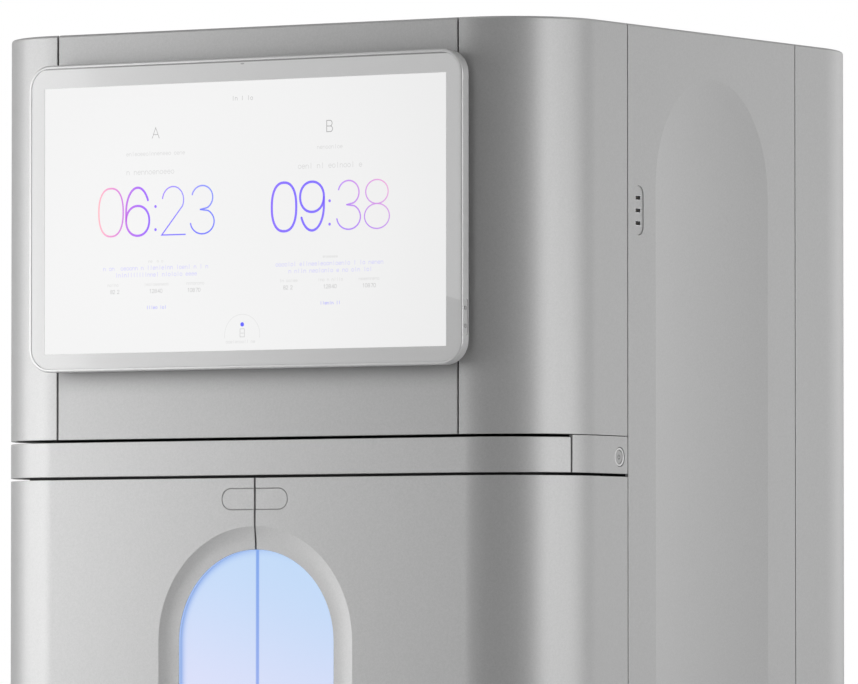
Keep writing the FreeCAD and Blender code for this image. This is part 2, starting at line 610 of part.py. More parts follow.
def make_base(shells):
    """Base pan on levelling feet, and the uprights and decks that carry everything."""
    pan = prism("base_pan", "z", cabinet_outline("base_inset"), ("base_bottom", "base_top"))
    hollow = prism("base_hollow", "z", cabinet_outline("base_inset + base_wall"),
                   (f"base_bottom - {BEYOND}", "base_top - base_wall"))
    node("base_frame", cut("base_frame_solid", pan, hollow))

    feet = []
    top = "base_top - base_wall"
    profile = [("0", "0", None), ("foot_radius", "0", "foot_pad_height / 4"),
               ("foot_radius", "foot_pad_height", "foot_pad_height / 3"),
               ("foot_stem_radius", "foot_pad_height", None),
               ("foot_stem_radius", f"{top} - foot_nut_height", None),
               ("foot_nut_radius", f"{top} - foot_nut_height", None),
               ("foot_nut_radius", top, None), ("0", top, None)]
    for side in ("-foot_x", "foot_x"):
        for place in ("-foot_front_y", "foot_rear_y"):
            feet.append(turned(f"foot_{len(feet) + 1}", profile, (side, place, "0")))
    node("levelling_feet", group("levelling_feet_group", *feet))

    posts = []
    outer_x = INNER_X
    front_y = f"({SIDE_SEAM} + post_setback)"
    rear_y = f"({REAR_SEAM} - post_size / 2)"
    storeys = (("lower", "base_top", "upper_deck_level"),
               ("upper", UPPER_FLOOR, CEILING))
    for storey, low, high in storeys:
        for place, y in (("front", front_y), ("rear", rear_y)):
            name = f"{storey}_{place}_post"
            tube = prism(name, "z", rectangle((f"{outer_x} - post_size", outer_x), (y, f"{y} + post_size"),
                                              "post_wall"), (low, high))
            pocket(tube, f"{name}_bore", "z",
                   rectangle((f"{outer_x} - post_size + post_wall", f"{outer_x} - post_wall"),
                             (f"{y} + post_wall", f"{y} + post_size - post_wall")), (low, high))
            left = mirrored(f"{name}_left", tube)
            if storey == "upper" and place == "front":
                tube = cut("port_post", tube, port_clearance())
            posts += [tube, left]
    posts += make_visor_posts(shells)
    node("uprights", group("uprights_group", *posts))

    inner = f"({outer_x} - post_size)"
    mid_levels = ("mid_deck_level", "mid_deck_level + deck_thickness")
    rounded = prism("mid_deck_outline", "z", cabinet_outline("mid_deck_setback"), mid_levels)
    between = box("mid_deck_region", (f"-{inner}", inner), (FRONT, f"{rear_y} + post_size"), mid_levels)
    node("mid_deck", common("mid_deck_sheet", rounded, between))

    upper_levels = ("upper_deck_level", "upper_deck_level + deck_thickness")
    sheet_metal = prism("upper_deck_blank", "z", cabinet_outline("cover_thickness + seat_gap"), upper_levels)
    dish = f"({FRONT} + dish_centre_reach)"
    reach = "(dish_half_width + dish_rim + seam_gap)"
    dish_notch = box("dish_notch", (f"{HALF} - dish_depth - dish_floor - seam_gap", HALF),
                     (f"{dish} - {reach}", f"{dish} + {reach}"), upper_levels)
    notches = [dish_notch, mirrored("dish_notch_left", dish_notch), visor_notch("deck_notch", upper_levels)]
    node("upper_deck", cut("upper_deck_sheet", sheet_metal, *notches))


def visor_notch(name, levels):
    """The space that the lifting visor needs in a fixed sheet."""
    side = "(corner_seam_x + seam_gap / 2)"
    return box(name, (f"-{side}", side),
               (f"{FRONT} - {BEYOND}", f"{VISOR_BACK} + visor_liner_thickness + seam_gap"), levels)


def make_visor_posts(shells):
    """The uprights beside the visor, which its rails and the front corner covers are fixed to."""
    post = prism("visor_post", "z",
                 rectangle((RAIL_SEAT, f"{RAIL_SEAT} + visor_post_width"),
                           (f"{FRONT} + cover_thickness", f"{FRONT} + cover_thickness + visor_post_depth")),
                 (UPPER_FLOOR, CEILING))
    # the cabinet's rounded corner takes a little off the post's outer front edge
    trimmed = common("visor_post_trimmed", post, shells["inner"])
    return [trimmed, mirrored("visor_post_left", trimmed)]


def make_covers(shells):
    """The fixed outer covers: front corners, sides, rear corners, rear panel and top."""
    half_gap = "seam_gap / 2"
    corner = box("corner_region", (f"corner_seam_x + {half_gap}", f"{HALF} + {BEYOND}"),
                 (f"{FRONT} - {BEYOND}", f"{SIDE_SEAM} - {half_gap}"),
                 (UPPER_BOTTOM, f"body_height + {BEYOND}"))
    right_corner = node("right_corner_cover", common("right_corner_skin", shells["skin"], corner))
    node("left_corner_cover", mirrored("left_corner_skin", right_corner))

    rear = box("rear_corner_region", (f"rear_panel_half + {half_gap}", f"{HALF} + {BEYOND}"),
               (f"{REAR_SEAM} + {half_gap}", f"{REAR} + {BEYOND}"), (0, f"body_height + {BEYOND}"))
    right_rear = node("rear_right_cover", common("rear_right_skin", shells["skin"], rear))
    node("rear_left_cover", mirrored("rear_left_skin", right_rear))

    make_side_panels(shells)
    make_rear_panel(shells)

    plate_top = "body_height - top_plate_drop"
    plate = prism("top_sheet", "z", cabinet_outline("cover_thickness + top_plate_gap"),
                  (f"{plate_top} - deck_thickness", plate_top))
    notch = visor_notch("top_notch", (f"{plate_top} - {BEYOND}", "body_height"))
    node("top_cover", cut("top_plate", plate, notch))


def make_side_panels(shells):
    """The side panels with their long, shallow dished recess; the right one carries the port panel."""
    half_gap = "seam_gap / 2"
    region = box("side_region", (0, f"{HALF} + {BEYOND}"),
                 (f"{SIDE_SEAM} + {half_gap}", f"{REAR_SEAM} - {half_gap}"), (0, f"body_height + {BEYOND}"))
    skin = common("side_skin", shells["skin"], region)
    centre = f"({FRONT} + dish_centre_reach)"
    levels = ("dish_bottom_level", "dish_top_level")
    backing = pill("dish_backing", centre, levels, "dish_half_width + dish_rim",
                   (f"{HALF} - dish_depth - dish_floor", f"{HALF} - cover_thickness / 2"), axis="x")
    # a circular arc of this radius is dish_depth deep over the recess's width
    sweep = "((dish_half_width ^ 2 + dish_depth ^ 2) / (2 * dish_depth))"
    axis_x = f"{HALF} - dish_depth + {sweep}"
    dish = [rod("dish_trough", "z", (axis_x, centre), levels, sweep)]
    for end, level in zip(("lower", "upper"), levels):
        ball = doc.addObject("Part::Sphere", f"dish_{end}_end")
        bind(ball, Radius=sweep, Placement__Base__x=axis_x, Placement__Base__y=centre, Placement__Base__z=level)
        dish.append(ball)
    dished = cut("dished_side", fuse("side_with_backing", skin, backing), *dish)
    node("left_side_panel", mirrored("left_side", dished))

    middle = f"({FRONT} + usb_reach)"
    ends = [f"usb_level {sign} (usb_height - usb_width) / 2" for sign in "-+"]
    opening = pill("usb_opening", middle, ends, "usb_width / 2",
                   (f"{HALF} - cover_thickness - {BEYOND}", f"{HALF} + {BEYOND}"), axis="x")
    node("right_side_panel", cut("right_side", dished, opening))

    face = f"({HALF} - usb_recess)"
    plate = pill("usb_plate_form", middle, ends, "usb_width / 2 - seat_gap",
                 (f"{HALF} - cover_thickness", face), axis="x")
    shelf = pill("usb_plate_flange", middle, ends, "usb_width / 2 + cover_thickness",
                 (f"{HALF} - 2 * cover_thickness", f"{HALF} - cover_thickness"), axis="x")
    cutouts, shells_of_ports = [], []
    for i in (-1, 0, 1):
        level = f"(usb_level + {i} * usb_pitch)"
        wide = (f"{middle} - port_width / 2", f"{middle} + port_width / 2")
        high = (f"{level} - port_height / 2", f"{level} + port_height / 2")
        name = f"port_{i + 2}"
        cutouts.append(box(f"{name}_cutout", (f"{HALF} - {BEYOND}", f"{HALF}"), wide, high))
        tube = prism(f"{name}_shell", "x", rectangle(wide, high), (f"{face} - port_depth", face))
        pocket(tube, f"{name}_mouth", "x",
               rectangle((f"{wide[0]} + port_wall", f"{wide[1]} - port_wall"),
                         (f"{high[0]} + port_wall", f"{high[1]} - port_wall")),
               (f"{face} - port_depth + port_wall", face))
        shells_of_ports.append(tube)
    node("usb_plate", cut("usb_plate_solid", fuse("usb_plate_blank", plate, shelf), *cutouts))
    node("usb_sockets", group("usb_sockets_group", *shells_of_ports))


def make_rear_panel(shells):
    """The rear panel with its vent slots and inlet, the two fans behind it and the mains inlet."""
    edge = "(rear_panel_half - seam_gap / 2)"
    region = box("rear_region", (f"-{edge}", edge), (0, f"{REAR} + {BEYOND}"), (0, f"body_height + {BEYOND}"))
    blank = common("rear_panel_blank", shells["skin"], region)
    through = (f"{REAR} - cover_thickness - {BEYOND}", f"{REAR} + {BEYOND}")
    round_end = "slot_height / 2"
    slots = doc.addObject("PartDesign::Body", "rear_slots")
    first = "fan_level - (slot_count - 1) / 2 * slot_pitch"
    sketch = sketch_on(slots, "XZ_Plane", "rear_slot_outline", f"-({through[1]})")
    outline(sketch, rectangle(("fan_x - slot_length / 2", "fan_x + slot_length / 2"),
                              (f"{first} - {round_end}", f"{first} + {round_end}"), "slot_height / 2.1"))
    pad = slots.newObject("PartDesign::Pad", "rear_slot")
    pad.Profile = sketch
    bind(pad, Length=f"({through[1]}) - ({through[0]})")
    rows = slots.newObject("PartDesign::LinearPattern", "rear_slot_rows")
    rows.Originals = [pad]
    rows.Direction = (origin_plane(slots, "Z_Axis"), [""])
    bind(rows, Length="(slot_count - 1) * slot_pitch", Occurrences="slot_count")
    slots.Tip = rows
    left_slots = mirrored("rear_slots_left", slots)
    inlet_wide = ("inlet_x - inlet_width / 2", "inlet_x + inlet_width / 2")
    inlet_high = ("inlet_level - inlet_height / 2", "inlet_level + inlet_height / 2")
    inlet_cutout = box("inlet_cutout", inlet_wide, through, inlet_high)
    node("rear_panel", cut("rear_panel_sheet", blank, slots, left_slots, inlet_cutout))

    inside = f"({REAR} - cover_thickness)"
    frames = []
    for side, x in (("right", "fan_x"), ("left", "-fan_x")):
        span = (f"{inside} - fan_thickness", inside)
        square = prism(f"{side}_fan_square", "y",
                       rectangle((f"{x} - fan_size / 2", f"{x} + fan_size / 2"),
                                 ("fan_level - fan_size / 2", "fan_level + fan_size / 2"), "fan_corner"), span)
        bore_span = (f"{span[0]} - {PAST}", f"{span[1]} + {PAST}")
        bore = rod(f"{side}_fan_bore", "y", (x, "fan_level"), bore_span, "fan_bore")
        ring = cut(f"{side}_fan_ring", square, bore)
        back = (span[0], f"{span[0]} + fan_plate")
        arms = [box(f"{side}_fan_spoke_x", (f"{x} - fan_bore", f"{x} + fan_bore"), back,
                    ("fan_level - fan_spoke / 2", "fan_level + fan_spoke / 2")),
                box(f"{side}_fan_spoke_z", (f"{x} - fan_spoke / 2", f"{x} + fan_spoke / 2"), back,
                    ("fan_level - fan_bore", "fan_level + fan_bore")),
                rod(f"{side}_fan_motor", "y", (x, "fan_level"), back, "fan_hub")]
        frames.append(fuse(f"{side}_fan_frame", ring, *arms))
        node(f"{side}_fan_rotor", make_rotor(f"{side}_rotor", x, f"{span[0]} + fan_plate + seat_gap"))
    node("fan_frames", group("fan_frames_group", *frames))

    socket = prism("inlet_body", "y",
                   rectangle((f"{inlet_wide[0]} + seat_gap", f"{inlet_wide[1]} - seat_gap"),
                             (f"{inlet_high[0]} + seat_gap", f"{inlet_high[1]} - seat_gap"), "inlet_corner"),
                   (f"{REAR} - inlet_depth", REAR))
    flange = prism("inlet_flange_plate", "y",
                   rectangle((f"{inlet_wide[0]} - inlet_flange", f"{inlet_wide[1]} + inlet_flange"),
                             (f"{inlet_high[0]} - inlet_flange", f"{inlet_high[1]} + inlet_flange"),
                             "inlet_corner + inlet_flange / 2"),
                   (f"{inside} - inlet_wall", inside))
    mouth = box("inlet_mouth", (f"{inlet_wide[0]} + inlet_wall", f"{inlet_wide[1]} - inlet_wall"),
                (f"{REAR} - inlet_depth + inlet_wall", f"{REAR} + {BEYOND}"),
                (f"{inlet_high[0]} + inlet_wall", f"{inlet_high[1]} - inlet_wall"))
    node("mains_inlet", cut("mains_inlet_solid", fuse("mains_inlet_blank", socket, flange), mouth))


def make_rotor(name, x, y):
    """A fan rotor: a hub with seven twisted blades in a polar pattern, its axis along Y."""
    body = doc.addObject("PartDesign::Body", name)
    hub_sketch = sketch_on(body, "XY_Plane", f"{name}_hub_outline")
    circle = hub_sketch.addGeometry(Part.Circle(Vector(), Vector(0, 0, 1), value("fan_hub")))
    hub_sketch.addConstraint(Sketcher.Constraint("Coincident", circle, 3, -1, 1))
    constrain(hub_sketch, "fan_hub", "Radius", circle)
    hub = body.newObject("PartDesign::Pad", f"{name}_hub")
    hub.Profile = hub_sketch
    bind(hub, Length="fan_thickness - blade_clear")
    sections = []
    for end, place in (("root", "fan_hub - blade_bite"), ("tip", "fan_tip")):
        sketch = sketch_on(body, "YZ_Plane", f"{name}_blade_{end}", place)
        outline(sketch, rectangle((f"-blade_{end}_half", f"blade_{end}_half"),
                                  ("-blade_half_thickness", "blade_half_thickness")))
        sketch.AttachmentOffset = Placement(Vector(), Rotation(Vector(0, 0, 1), BLADE_TURNS[end]))
        half_depth = "(fan_thickness - blade_clear) / 2"
        bind(sketch, AttachmentOffset__Base__y=half_depth, AttachmentOffset__Base__z=place)
        sections.append(sketch)
    blade = body.newObject("PartDesign::AdditiveLoft", f"{name}_blade")
    blade.Profile = sections[0]
    blade.Sections = sections[1:]
    doc.recompute()
    blades = body.newObject("PartDesign::PolarPattern", f"{name}_blades")
    blades.Originals = [blade]
    blades.Axis = (origin_plane(body, "Z_Axis"), [""])
    blades.Angle = 360
    blades.Occurrences = BLADES
    body.Tip = blades
    body.Placement = Placement(Vector(), TURNS["y"])
    return bind(body, Placement__Base__x=x, Placement__Base__y=y, Placement__Base__z="fan_level")


def make_power_button(shells):
    """The fixed block at the right end of the drawer front, with the power button and its ring."""
    region = box("block_region", (0, f"{HALF} + {BEYOND}"),
                 (f"{FRONT} + band_side_reach + hairline_gap", f"{SIDE_SEAM} - seam_gap / 2"),
                 (BAND_BOTTOM, f"{UPPER_BOTTOM} - hairline_gap"))
    skin = common("block_skin", shells["skin"], region)
    place = (f"{FRONT} + power_reach", "power_level")
    sleeve = rod("power_sleeve_form", "x", place, (f"{HALF} - power_sleeve", f"{HALF} - cover_thickness / 2"),
                 "power_boss")
    rib = box("block_rib", (f"{HALF} - 3 * cover_thickness", f"{HALF} - cover_thickness"),
              (f"{SIDE_SEAM} - 2 * cover_thickness", f"{SIDE_SEAM} + post_setback"),
              (f"{BAND_BOTTOM} + cover_thickness", f"{BAND_TOP} - cover_thickness"))
    bore_span = (f"{HALF} - power_sleeve - {PAST}", f"{HALF} + {PAST}")
    bore = rod("power_bore_form", "x", place, bore_span, "power_bore")
    node("button_block", cut("button_block_solid", fuse("block_blank", skin, sleeve, rib), bore))

    outside = "power_bore - close_gap"
    ring_back = "-(power_ring_drop + power_ring_length)"
    ring = [("power_ring_inner", ring_back, None), (outside, ring_back, None),
            (outside, "-power_ring_drop", "power_ring_round"),
            ("power_ring_inner", "-power_ring_drop", "power_ring_round")]
    node("power_button_ring", turned("power_ring", ring, (HALF, *place), axis="x"))

    flange_front = f"{ring_back} - seat_gap"
    stem = "power_ring_inner - seat_gap"
    flange_back = f"{flange_front} - power_flange_depth"
    button = [("0", flange_back, None), ("power_flange", flange_back, None),
              ("power_flange", flange_front, None), (stem, flange_front, None),
              (stem, "-power_button_drop", "power_button_round"), ("0", "-power_button_drop", None)]
    node("power_button", turned("power_button_turned", button, (HALF, *place), axis="x"))


def make_visor(shells):
    """The lifting centre panel, its liner, rails and runner blocks."""
    region = box("visor_region", (f"-{VISOR_SIDE}", VISOR_SIDE), (f"{FRONT} - {BEYOND}", VISOR_BACK),
                 (UPPER_BOTTOM, f"body_height + {BEYOND}"))
    inside = box("visor_inside", (f"-{VISOR_SIDE} + cover_thickness", f"{VISOR_SIDE} - cover_thickness"),
                 (f"{FRONT} + cover_thickness", f"{VISOR_BACK} + {BEYOND}"),
                 (f"{UPPER_BOTTOM} + cover_thickness", "body_height - cover_thickness"))
    node("visor", cut("visor_pan", common("visor_blank", shells["outer"], region), inside))

    rail_x = (f"({RAIL_SEAT} - rail_width)", RAIL_SEAT)
    rail_y = (f"{VISOR_BACK} + rail_setback", f"{VISOR_BACK} + rail_setback + rail_depth")
    block_x = (f"{rail_x[0]} - rail_width", VISOR_SIDE)
    node("visor_liner", prism("visor_liner_sheet", "y",
                              rectangle((f"-({block_x[0]}) + seat_gap", f"{block_x[0]} - seat_gap"),
                                        (f"{UPPER_BOTTOM} + seat_gap", "body_height - top_edge_round"),
                                        "liner_corner"),
                              (VISOR_BACK, f"{VISOR_BACK} + visor_liner_thickness")))

    rail = box("visor_rail", rail_x, rail_y, (UPPER_FLOOR, CEILING))
    node("visor_rails", group("visor_rails_group", rail, mirrored("visor_rail_left", rail)))

    blocks = []
    for i in (0, 1):
        low = f"({UPPER_FLOOR} + carriage_low + {i} * carriage_step)"
        name = f"visor_block_{i + 1}"
        blank = box(f"{name}_blank", block_x, (VISOR_BACK, f"{rail_y[1]} + carriage_wall"),
                    (low, f"{low} + carriage_height"))
        groove = box(f"{name}_groove", (f"{rail_x[0]} - seat_gap", f"{rail_x[1]} + {PAST}"),
                     (f"{rail_y[0]} - seat_gap", f"{rail_y[1]} + seat_gap"),
                     (f"{low} - {PAST}", f"{low} + carriage_height + {PAST}"))
        block = cut(name, blank, groove)
        blocks += [block, mirrored(f"{name}_left", block)]
    node("visor_carriages", group("visor_carriages_group", *blocks))


def make_monitor():
    """The touch screen: bracket, housing, glass border, lit panel and two side buttons."""
    face = f"({FRONT} - monitor_proud)"
    back = f"({face} + monitor_depth)"
    wide = ("-monitor_width / 2", "monitor_width / 2")
    high = ("monitor_level - monitor_height / 2", "monitor_level + monitor_height / 2")
    housing = prism("monitor_shell", "y", rectangle(wide, high, "monitor_corner"), (face, back))
    soften(housing, "monitor_back_edge", "monitor_back_round",
           lambda bounds: abs(bounds.YMin - value(back)) < 1e-3 and abs(bounds.YMax - value(back)) < 1e-3)
    soften(housing, "monitor_front_edge", "monitor_front_round",
           lambda bounds: abs(bounds.YMin - value(face)) < 1e-3 and abs(bounds.YMax - value(face)) < 1e-3)
    glass_wide = ("-monitor_width / 2 + monitor_rim", "monitor_width / 2 - monitor_rim")
    glass_high = (f"{high[0]} + monitor_rim", f"{high[1]} - monitor_rim")
    glass_back = f"{face} + glass_drop + glass_thickness"
    pocket(housing, "monitor_glass_seat", "y",
           rectangle(glass_wide, glass_high, "monitor_corner - monitor_rim"), (face, glass_back))
    key_y = f"({face} + key_slot_setback)"
    side = "monitor_width / 2"
    key_ends = [f"key_slot_level {sign} (key_slot_length - key_slot_width) / 2" for sign in "-+"]
    slot_span = (f"{side} - key_slot_depth", f"{side} + {PAST}")
    slot = pill("key_slot", key_y, key_ends, "key_slot_width / 2", slot_span, axis="x")
    key_levels = {"lower": "key_slot_level - key_pitch / 2", "upper": "key_slot_level + key_pitch / 2"}
    bores = []
    for name, level in key_levels.items():
        span = (f"{side} - key_slot_depth + key_proud - key_length - key_travel - seat_gap", side)
        bores.append(rod(f"{name}_key_bore", "x", (key_y, level), span, "key_radius + close_gap"))
        key = [("0", "0", None), ("key_radius", "0", None), ("key_radius", "key_length", "key_round"),
               ("0", "key_length", None)]
        start = f"{side} - key_slot_depth + key_proud - key_length"
        node(f"monitor_{name}_button", turned(f"{name}_key", key, (start, key_y, level), axis="x"))
    node("monitor_housing", cut("monitor_housing_solid", housing, slot, *bores))

    fit = "seat_gap"
    glass = prism("glass_border", "y", rectangle((f"{glass_wide[0]} + {fit}", f"{glass_wide[1]} - {fit}"),
                                                 (f"{glass_high[0]} + {fit}", f"{glass_high[1]} - {fit}"),
                                                 f"monitor_corner - monitor_rim - {fit}"),
                  (f"{face} + glass_drop", glass_back))
    screen_wide = ("-screen_width / 2", "screen_width / 2")
    screen_high = ("screen_level - screen_height / 2", "screen_level + screen_height / 2")
    pocket(glass, "glass_opening", "y", rectangle(screen_wide, screen_high),
           (f"{face} + glass_drop", glass_back))
    node("monitor_bezel", glass)
    node("display_panel", prism("display_sheet", "y",
                                rectangle((f"{screen_wide[0]} + {fit} / 2", f"{screen_wide[1]} - {fit} / 2"),
                                          (f"{screen_high[0]} + {fit} / 2", f"{screen_high[1]} - {fit} / 2")),
                                (f"{face} + glass_drop + close_gap", glass_back)))
    mount_high = ("monitor_level - mount_height / 2", "monitor_level + mount_height / 2")
    node("monitor_mount", prism("monitor_bracket", "y",
                                rectangle(("-mount_width / 2", "mount_width / 2"), mount_high, "mount_corner"),
                                (back, FRONT)))


def make_keyboard_drawer(shells):
    """The drawer front that wraps the corners, its tray, and the slides it runs on."""
    levels = (BAND_BOTTOM, BAND_TOP)
    left_end = f"{SIDE_SEAM} - seam_gap / 2"
    right_end = f"{FRONT} + band_side_reach"

    def band_region(name, inset):
        low, high = f"{levels[0]} + {inset}", f"{levels[1]} - {inset}"
        front = f"{FRONT} - {BEYOND}"
        return fuse(name, box(f"{name}_left", (f"-{HALF} - {BEYOND}", "0"), (front, left_end), (low, high)),
                    box(f"{name}_right", ("0", f"{HALF} + {BEYOND}"), (front, right_end), (low, high)))

    rim = common("band_rim", shells["band"], band_region("band_region", "0"))
    hollow = common("band_hollow", shells["inner"], band_region("band_inside", "cover_thickness"))
    node("drawer_front", cut("drawer_front_pan", rim, hollow))

    front = f"({FRONT} + band_depth)"
    side = "tray_half_width"
    wide, long = (f"-{side}", side), (front, f"{front} + tray_length")
    tray = prism("keyboard_tray_pan", "z", rectangle(wide, long, "tray_corner"),
                 ("tray_level", "tray_level + tray_height"))
    pocket(tray, "keyboard_tray_inside", "z",
           rectangle((f"-{side} + tray_wall", f"{side} - tray_wall"),
                     (f"{long[0]} + tray_wall", f"{long[1]} - tray_wall"), "tray_corner - tray_wall"),
           ("tray_level + tray_wall", "tray_level + tray_height"))
    node("keyboard_tray", tray)

    deck = "mid_deck_level + deck_thickness"
    low = f"({deck} + (slide_channel_height - slide_height) / 2)"
    run = (f"{front} + 2 * band_depth", f"{front} + 2 * band_depth + slide_length")
    tongue = box("slide_tongue_form", (side, f"{side} + slide_tongue"), run, (low, f"{low} + slide_height"))
    node("drawer_runners", group("drawer_runners_group", tongue, mirrored("slide_tongue_left", tongue)))
    lip = f"({side} + slide_tongue - slide_wall)"
    channel = box("slide_channel", (lip, f"{side} + slide_tongue + seat_gap + slide_wall"), run,
                  (deck, f"{deck} + slide_channel_height"))
    groove = box("slide_groove", (f"{lip} - {PAST}", f"{side} + slide_tongue + seat_gap"),
                 (f"{run[0]} - {PAST}", f"{run[1]} + {PAST}"),
                 (f"{low} - seat_gap", f"{low} + slide_height + seat_gap"))
    rail = cut("slide_rail", channel, groove)
    node("drawer_rails", group("drawer_rails_group", rail, mirrored("slide_rail_left", rail)))


def make_doors(shells):
    """The two arched doors with their coved window recess, light panels, liners and hinges."""
    half_gap = "seam_gap / 2"
    region = box("door_region", (half_gap, f"{HALF} + {BEYOND}"),
                 (f"{FRONT} - {BEYOND}", f"{SIDE_SEAM} - {half_gap}"), ("cover_bottom", DOOR_TOP))
    hollow = box("door_hollow", (f"{half_gap} + cover_thickness", f"{HALF} + {BEYOND}"),
                 (f"{FRONT} - {BEYOND}", f"{SIDE_SEAM} + {BEYOND}"),
                 ("cover_bottom + cover_thickness", f"{DOOR_TOP} - cover_thickness"))
    pan = cut("door_pan", common("door_rim", shells["door"], region),
              common("door_inside", shells["inner"], hollow))
    arch = ("arch_bottom_level", "arch_top_level")
    seat = "(window_drop + window_thickness)"
    backing = common("arch_pad", pill("arch_pad_form", "0", arch, "arch_outer + arch_backing",
                                      (f"{FRONT} + cover_thickness / 2", f"{FRONT} + {seat} + lip_thickness")),
                     region)
    pivot = (f"({HALF} - hinge_inset)", f"({SIDE_SEAM} - {half_gap} - hinge_reach)")
    lugs, lug_bores = make_door_lugs(pivot)

    cove = make_cove(arch)
    opening = pill("window_opening", "0", arch, "arch_inner", (f"{FRONT} - {BEYOND}", f"{FRONT} + {seat}"))
    lip_hole = pill("window_lip_hole", "0", arch, "arch_inner - window_lip",
                    (f"{FRONT} - {BEYOND}", f"{FRONT} + door_depth + {BEYOND}"))
    pad_half = "(latch_length - latch_height) / 2"
    finger_pad = fuse("finger_pad", rod("finger_pad_end", "y", (pad_half, "latch_level"),
                                        (f"{FRONT} - {BEYOND}", f"{FRONT} + latch_depth"), "latch_height / 2"),
                      box("finger_pad_bar", ("0", pad_half), (f"{FRONT} - {BEYOND}", f"{FRONT} + latch_depth"),
                          ("latch_level - latch_height / 2", "latch_level + latch_height / 2")))
    right = node("right_door", cut("right_door_solid", fuse("door_blank", pan, backing, *lugs),
                                   *cove, opening, lip_hole, finger_pad, *lug_bores))
    node("left_door", mirrored("left_door_solid", right))

    pane = common("window_pane", pill("window_form", "0", arch, "arch_inner - seat_gap",
                                      (f"{FRONT} + window_drop", f"{FRONT} + {seat}")), region)
    right_window = node("right_window", pane)
    node("left_window", mirrored("left_window_pane", right_window))

    liner = prism("liner_sheet", "y", rectangle(("seat_gap / 2", "liner_reach"),
                                                ("cover_bottom + hairline_gap", f"{DOOR_TOP} - hairline_gap"),
                                                "liner_corner"),
                  (f"{FRONT} + door_depth", f"{FRONT} + door_depth + liner_thickness"))
    node("right_door_liner", liner)
    node("left_door_liner", mirrored("left_liner_sheet", liner))
    make_hinge_arms(pivot)


def cove_section(sketch, front):
    """The cove's cutter in section: steep at the recess's outer edge, level where it meets the window."""
    face, floor, start = value(front), value(f"{front} + arch_depth"), value(f"{front} - {BEYOND}")
    outer, inner = value("arch_outer"), value("arch_inner")
    nose = ((outer - inner) ** 2 + (floor - face) ** 2) / (2 * (floor - face))
    centre = Vector(inner, floor - nose, 0)
    middle = centre + (Vector(outer, face, 0) + Vector(inner, floor, 0) - 2 * centre).normalize() * nose
    corners = [Vector(0, start, 0), Vector(outer, start, 0), Vector(outer, face, 0),
               Vector(inner, floor, 0), Vector(0, floor, 0)]
    base, side, top, axis = [sketch.addGeometry(Part.LineSegment(corners[i], corners[j]))
                             for i, j in ((0, 1), (1, 2), (3, 4), (4, 0))]
    arc = sketch.addGeometry(Part.Arc(corners[2], middle, corners[3]))
    for line, way in ((base, "Horizontal"), (side, "Vertical"), (top, "Horizontal"), (axis, "Vertical")):
        sketch.addConstraint(Sketcher.Constraint(way, line))
    for first, first_end, second, second_end in ((base, 2, side, 1), (side, 2, arc, 1), (top, 2, axis, 1),
                                                 (axis, 2, base, 1)):
        sketch.addConstraint(Sketcher.Constraint("Coincident", first, first_end, second, second_end))
    sketch.addConstraint(Sketcher.Constraint("Tangent", arc, 2, top, 1))
    sketch.addConstraint(Sketcher.Constraint("PointOnObject", axis, 1, -2))
    constrain(sketch, f"{front} - {BEYOND}", "DistanceY", -1, 1, base, 1)
    constrain(sketch, front, "DistanceY", -1, 1, arc, 1)
    constrain(sketch, f"{front} + arch_depth", "DistanceY", -1, 1, top, 1)
    constrain(sketch, "arch_outer", "DistanceX", -1, 1, side, 1)
    constrain(sketch, "arch_inner", "DistanceX", -1, 1, arc, 2)


def make_cove(levels):
    """The cutters of the cove round the windows: turned at both round ends, straight between them."""
    cutters = []
    for end, level in zip(("lower", "upper"), levels):
        body = doc.addObject("PartDesign::Body", f"cove_{end}_end")
        sketch = sketch_on(body, "XZ_Plane", f"cove_{end}_section")
        cove_section(sketch, "0")
        turn = body.newObject("PartDesign::Revolution", f"cove_{end}_turn")
        turn.Profile = sketch
        turn.ReferenceAxis = (sketch, ["V_Axis"])
        turn.Angle = 180
        turn.Reversed = end == "upper"
        body.Placement = Placement(Vector(), TURNS["y"])
        cutters.append(bind(body, Placement__Base__y=FRONT, Placement__Base__z=level))
    body = doc.addObject("PartDesign::Body", "cove_side")
    sketch = sketch_on(body, "XY_Plane", "cove_side_section", levels[0])
    cove_section(sketch, FRONT)
    pad = body.newObject("PartDesign::Pad", "cove_side_pad")
    pad.Profile = sketch
    bind(pad, Length=f"{levels[1]} - {levels[0]}")
    return [*cutters, body]


def hinge_levels():
    """The number and height of each hinge of a door."""
    return [(i + 1, f"(hinge_low + {i} * hinge_step)") for i in range(HINGES)]


def make_door_lugs(pivot):
    """The lugs inside a door, above and below each hinge arm, and their bores."""
    lugs, bores = [], []
    x, y = pivot
    for i, level in hinge_levels():
        offsets = {"lower": "-hinge_arm_half - seat_gap - hinge_lug", "upper": "hinge_arm_half + seat_gap"}
        for side, offset in offsets.items():
            low = f"({level} + {offset})"
            span = (low, f"{low} + hinge_lug")
            name = f"lug_{i}_{side}"
            web = box(f"{name}_web", (x, f"{HALF} - cover_thickness / 2"),
                      (f"{y} - hinge_knuckle", f"{y} + hinge_knuckle"), span)
            lugs += [web, rod(f"{name}_eye", "z", (x, y), span, "hinge_knuckle")]
        span = (f"{level} - 3 * hinge_arm_half", f"{level} + 3 * hinge_arm_half")
        bores.append(rod(f"lug_{i}_bore", "z", (x, y), span, "hinge_pin_radius + hinge_running"))
    return lugs, bores


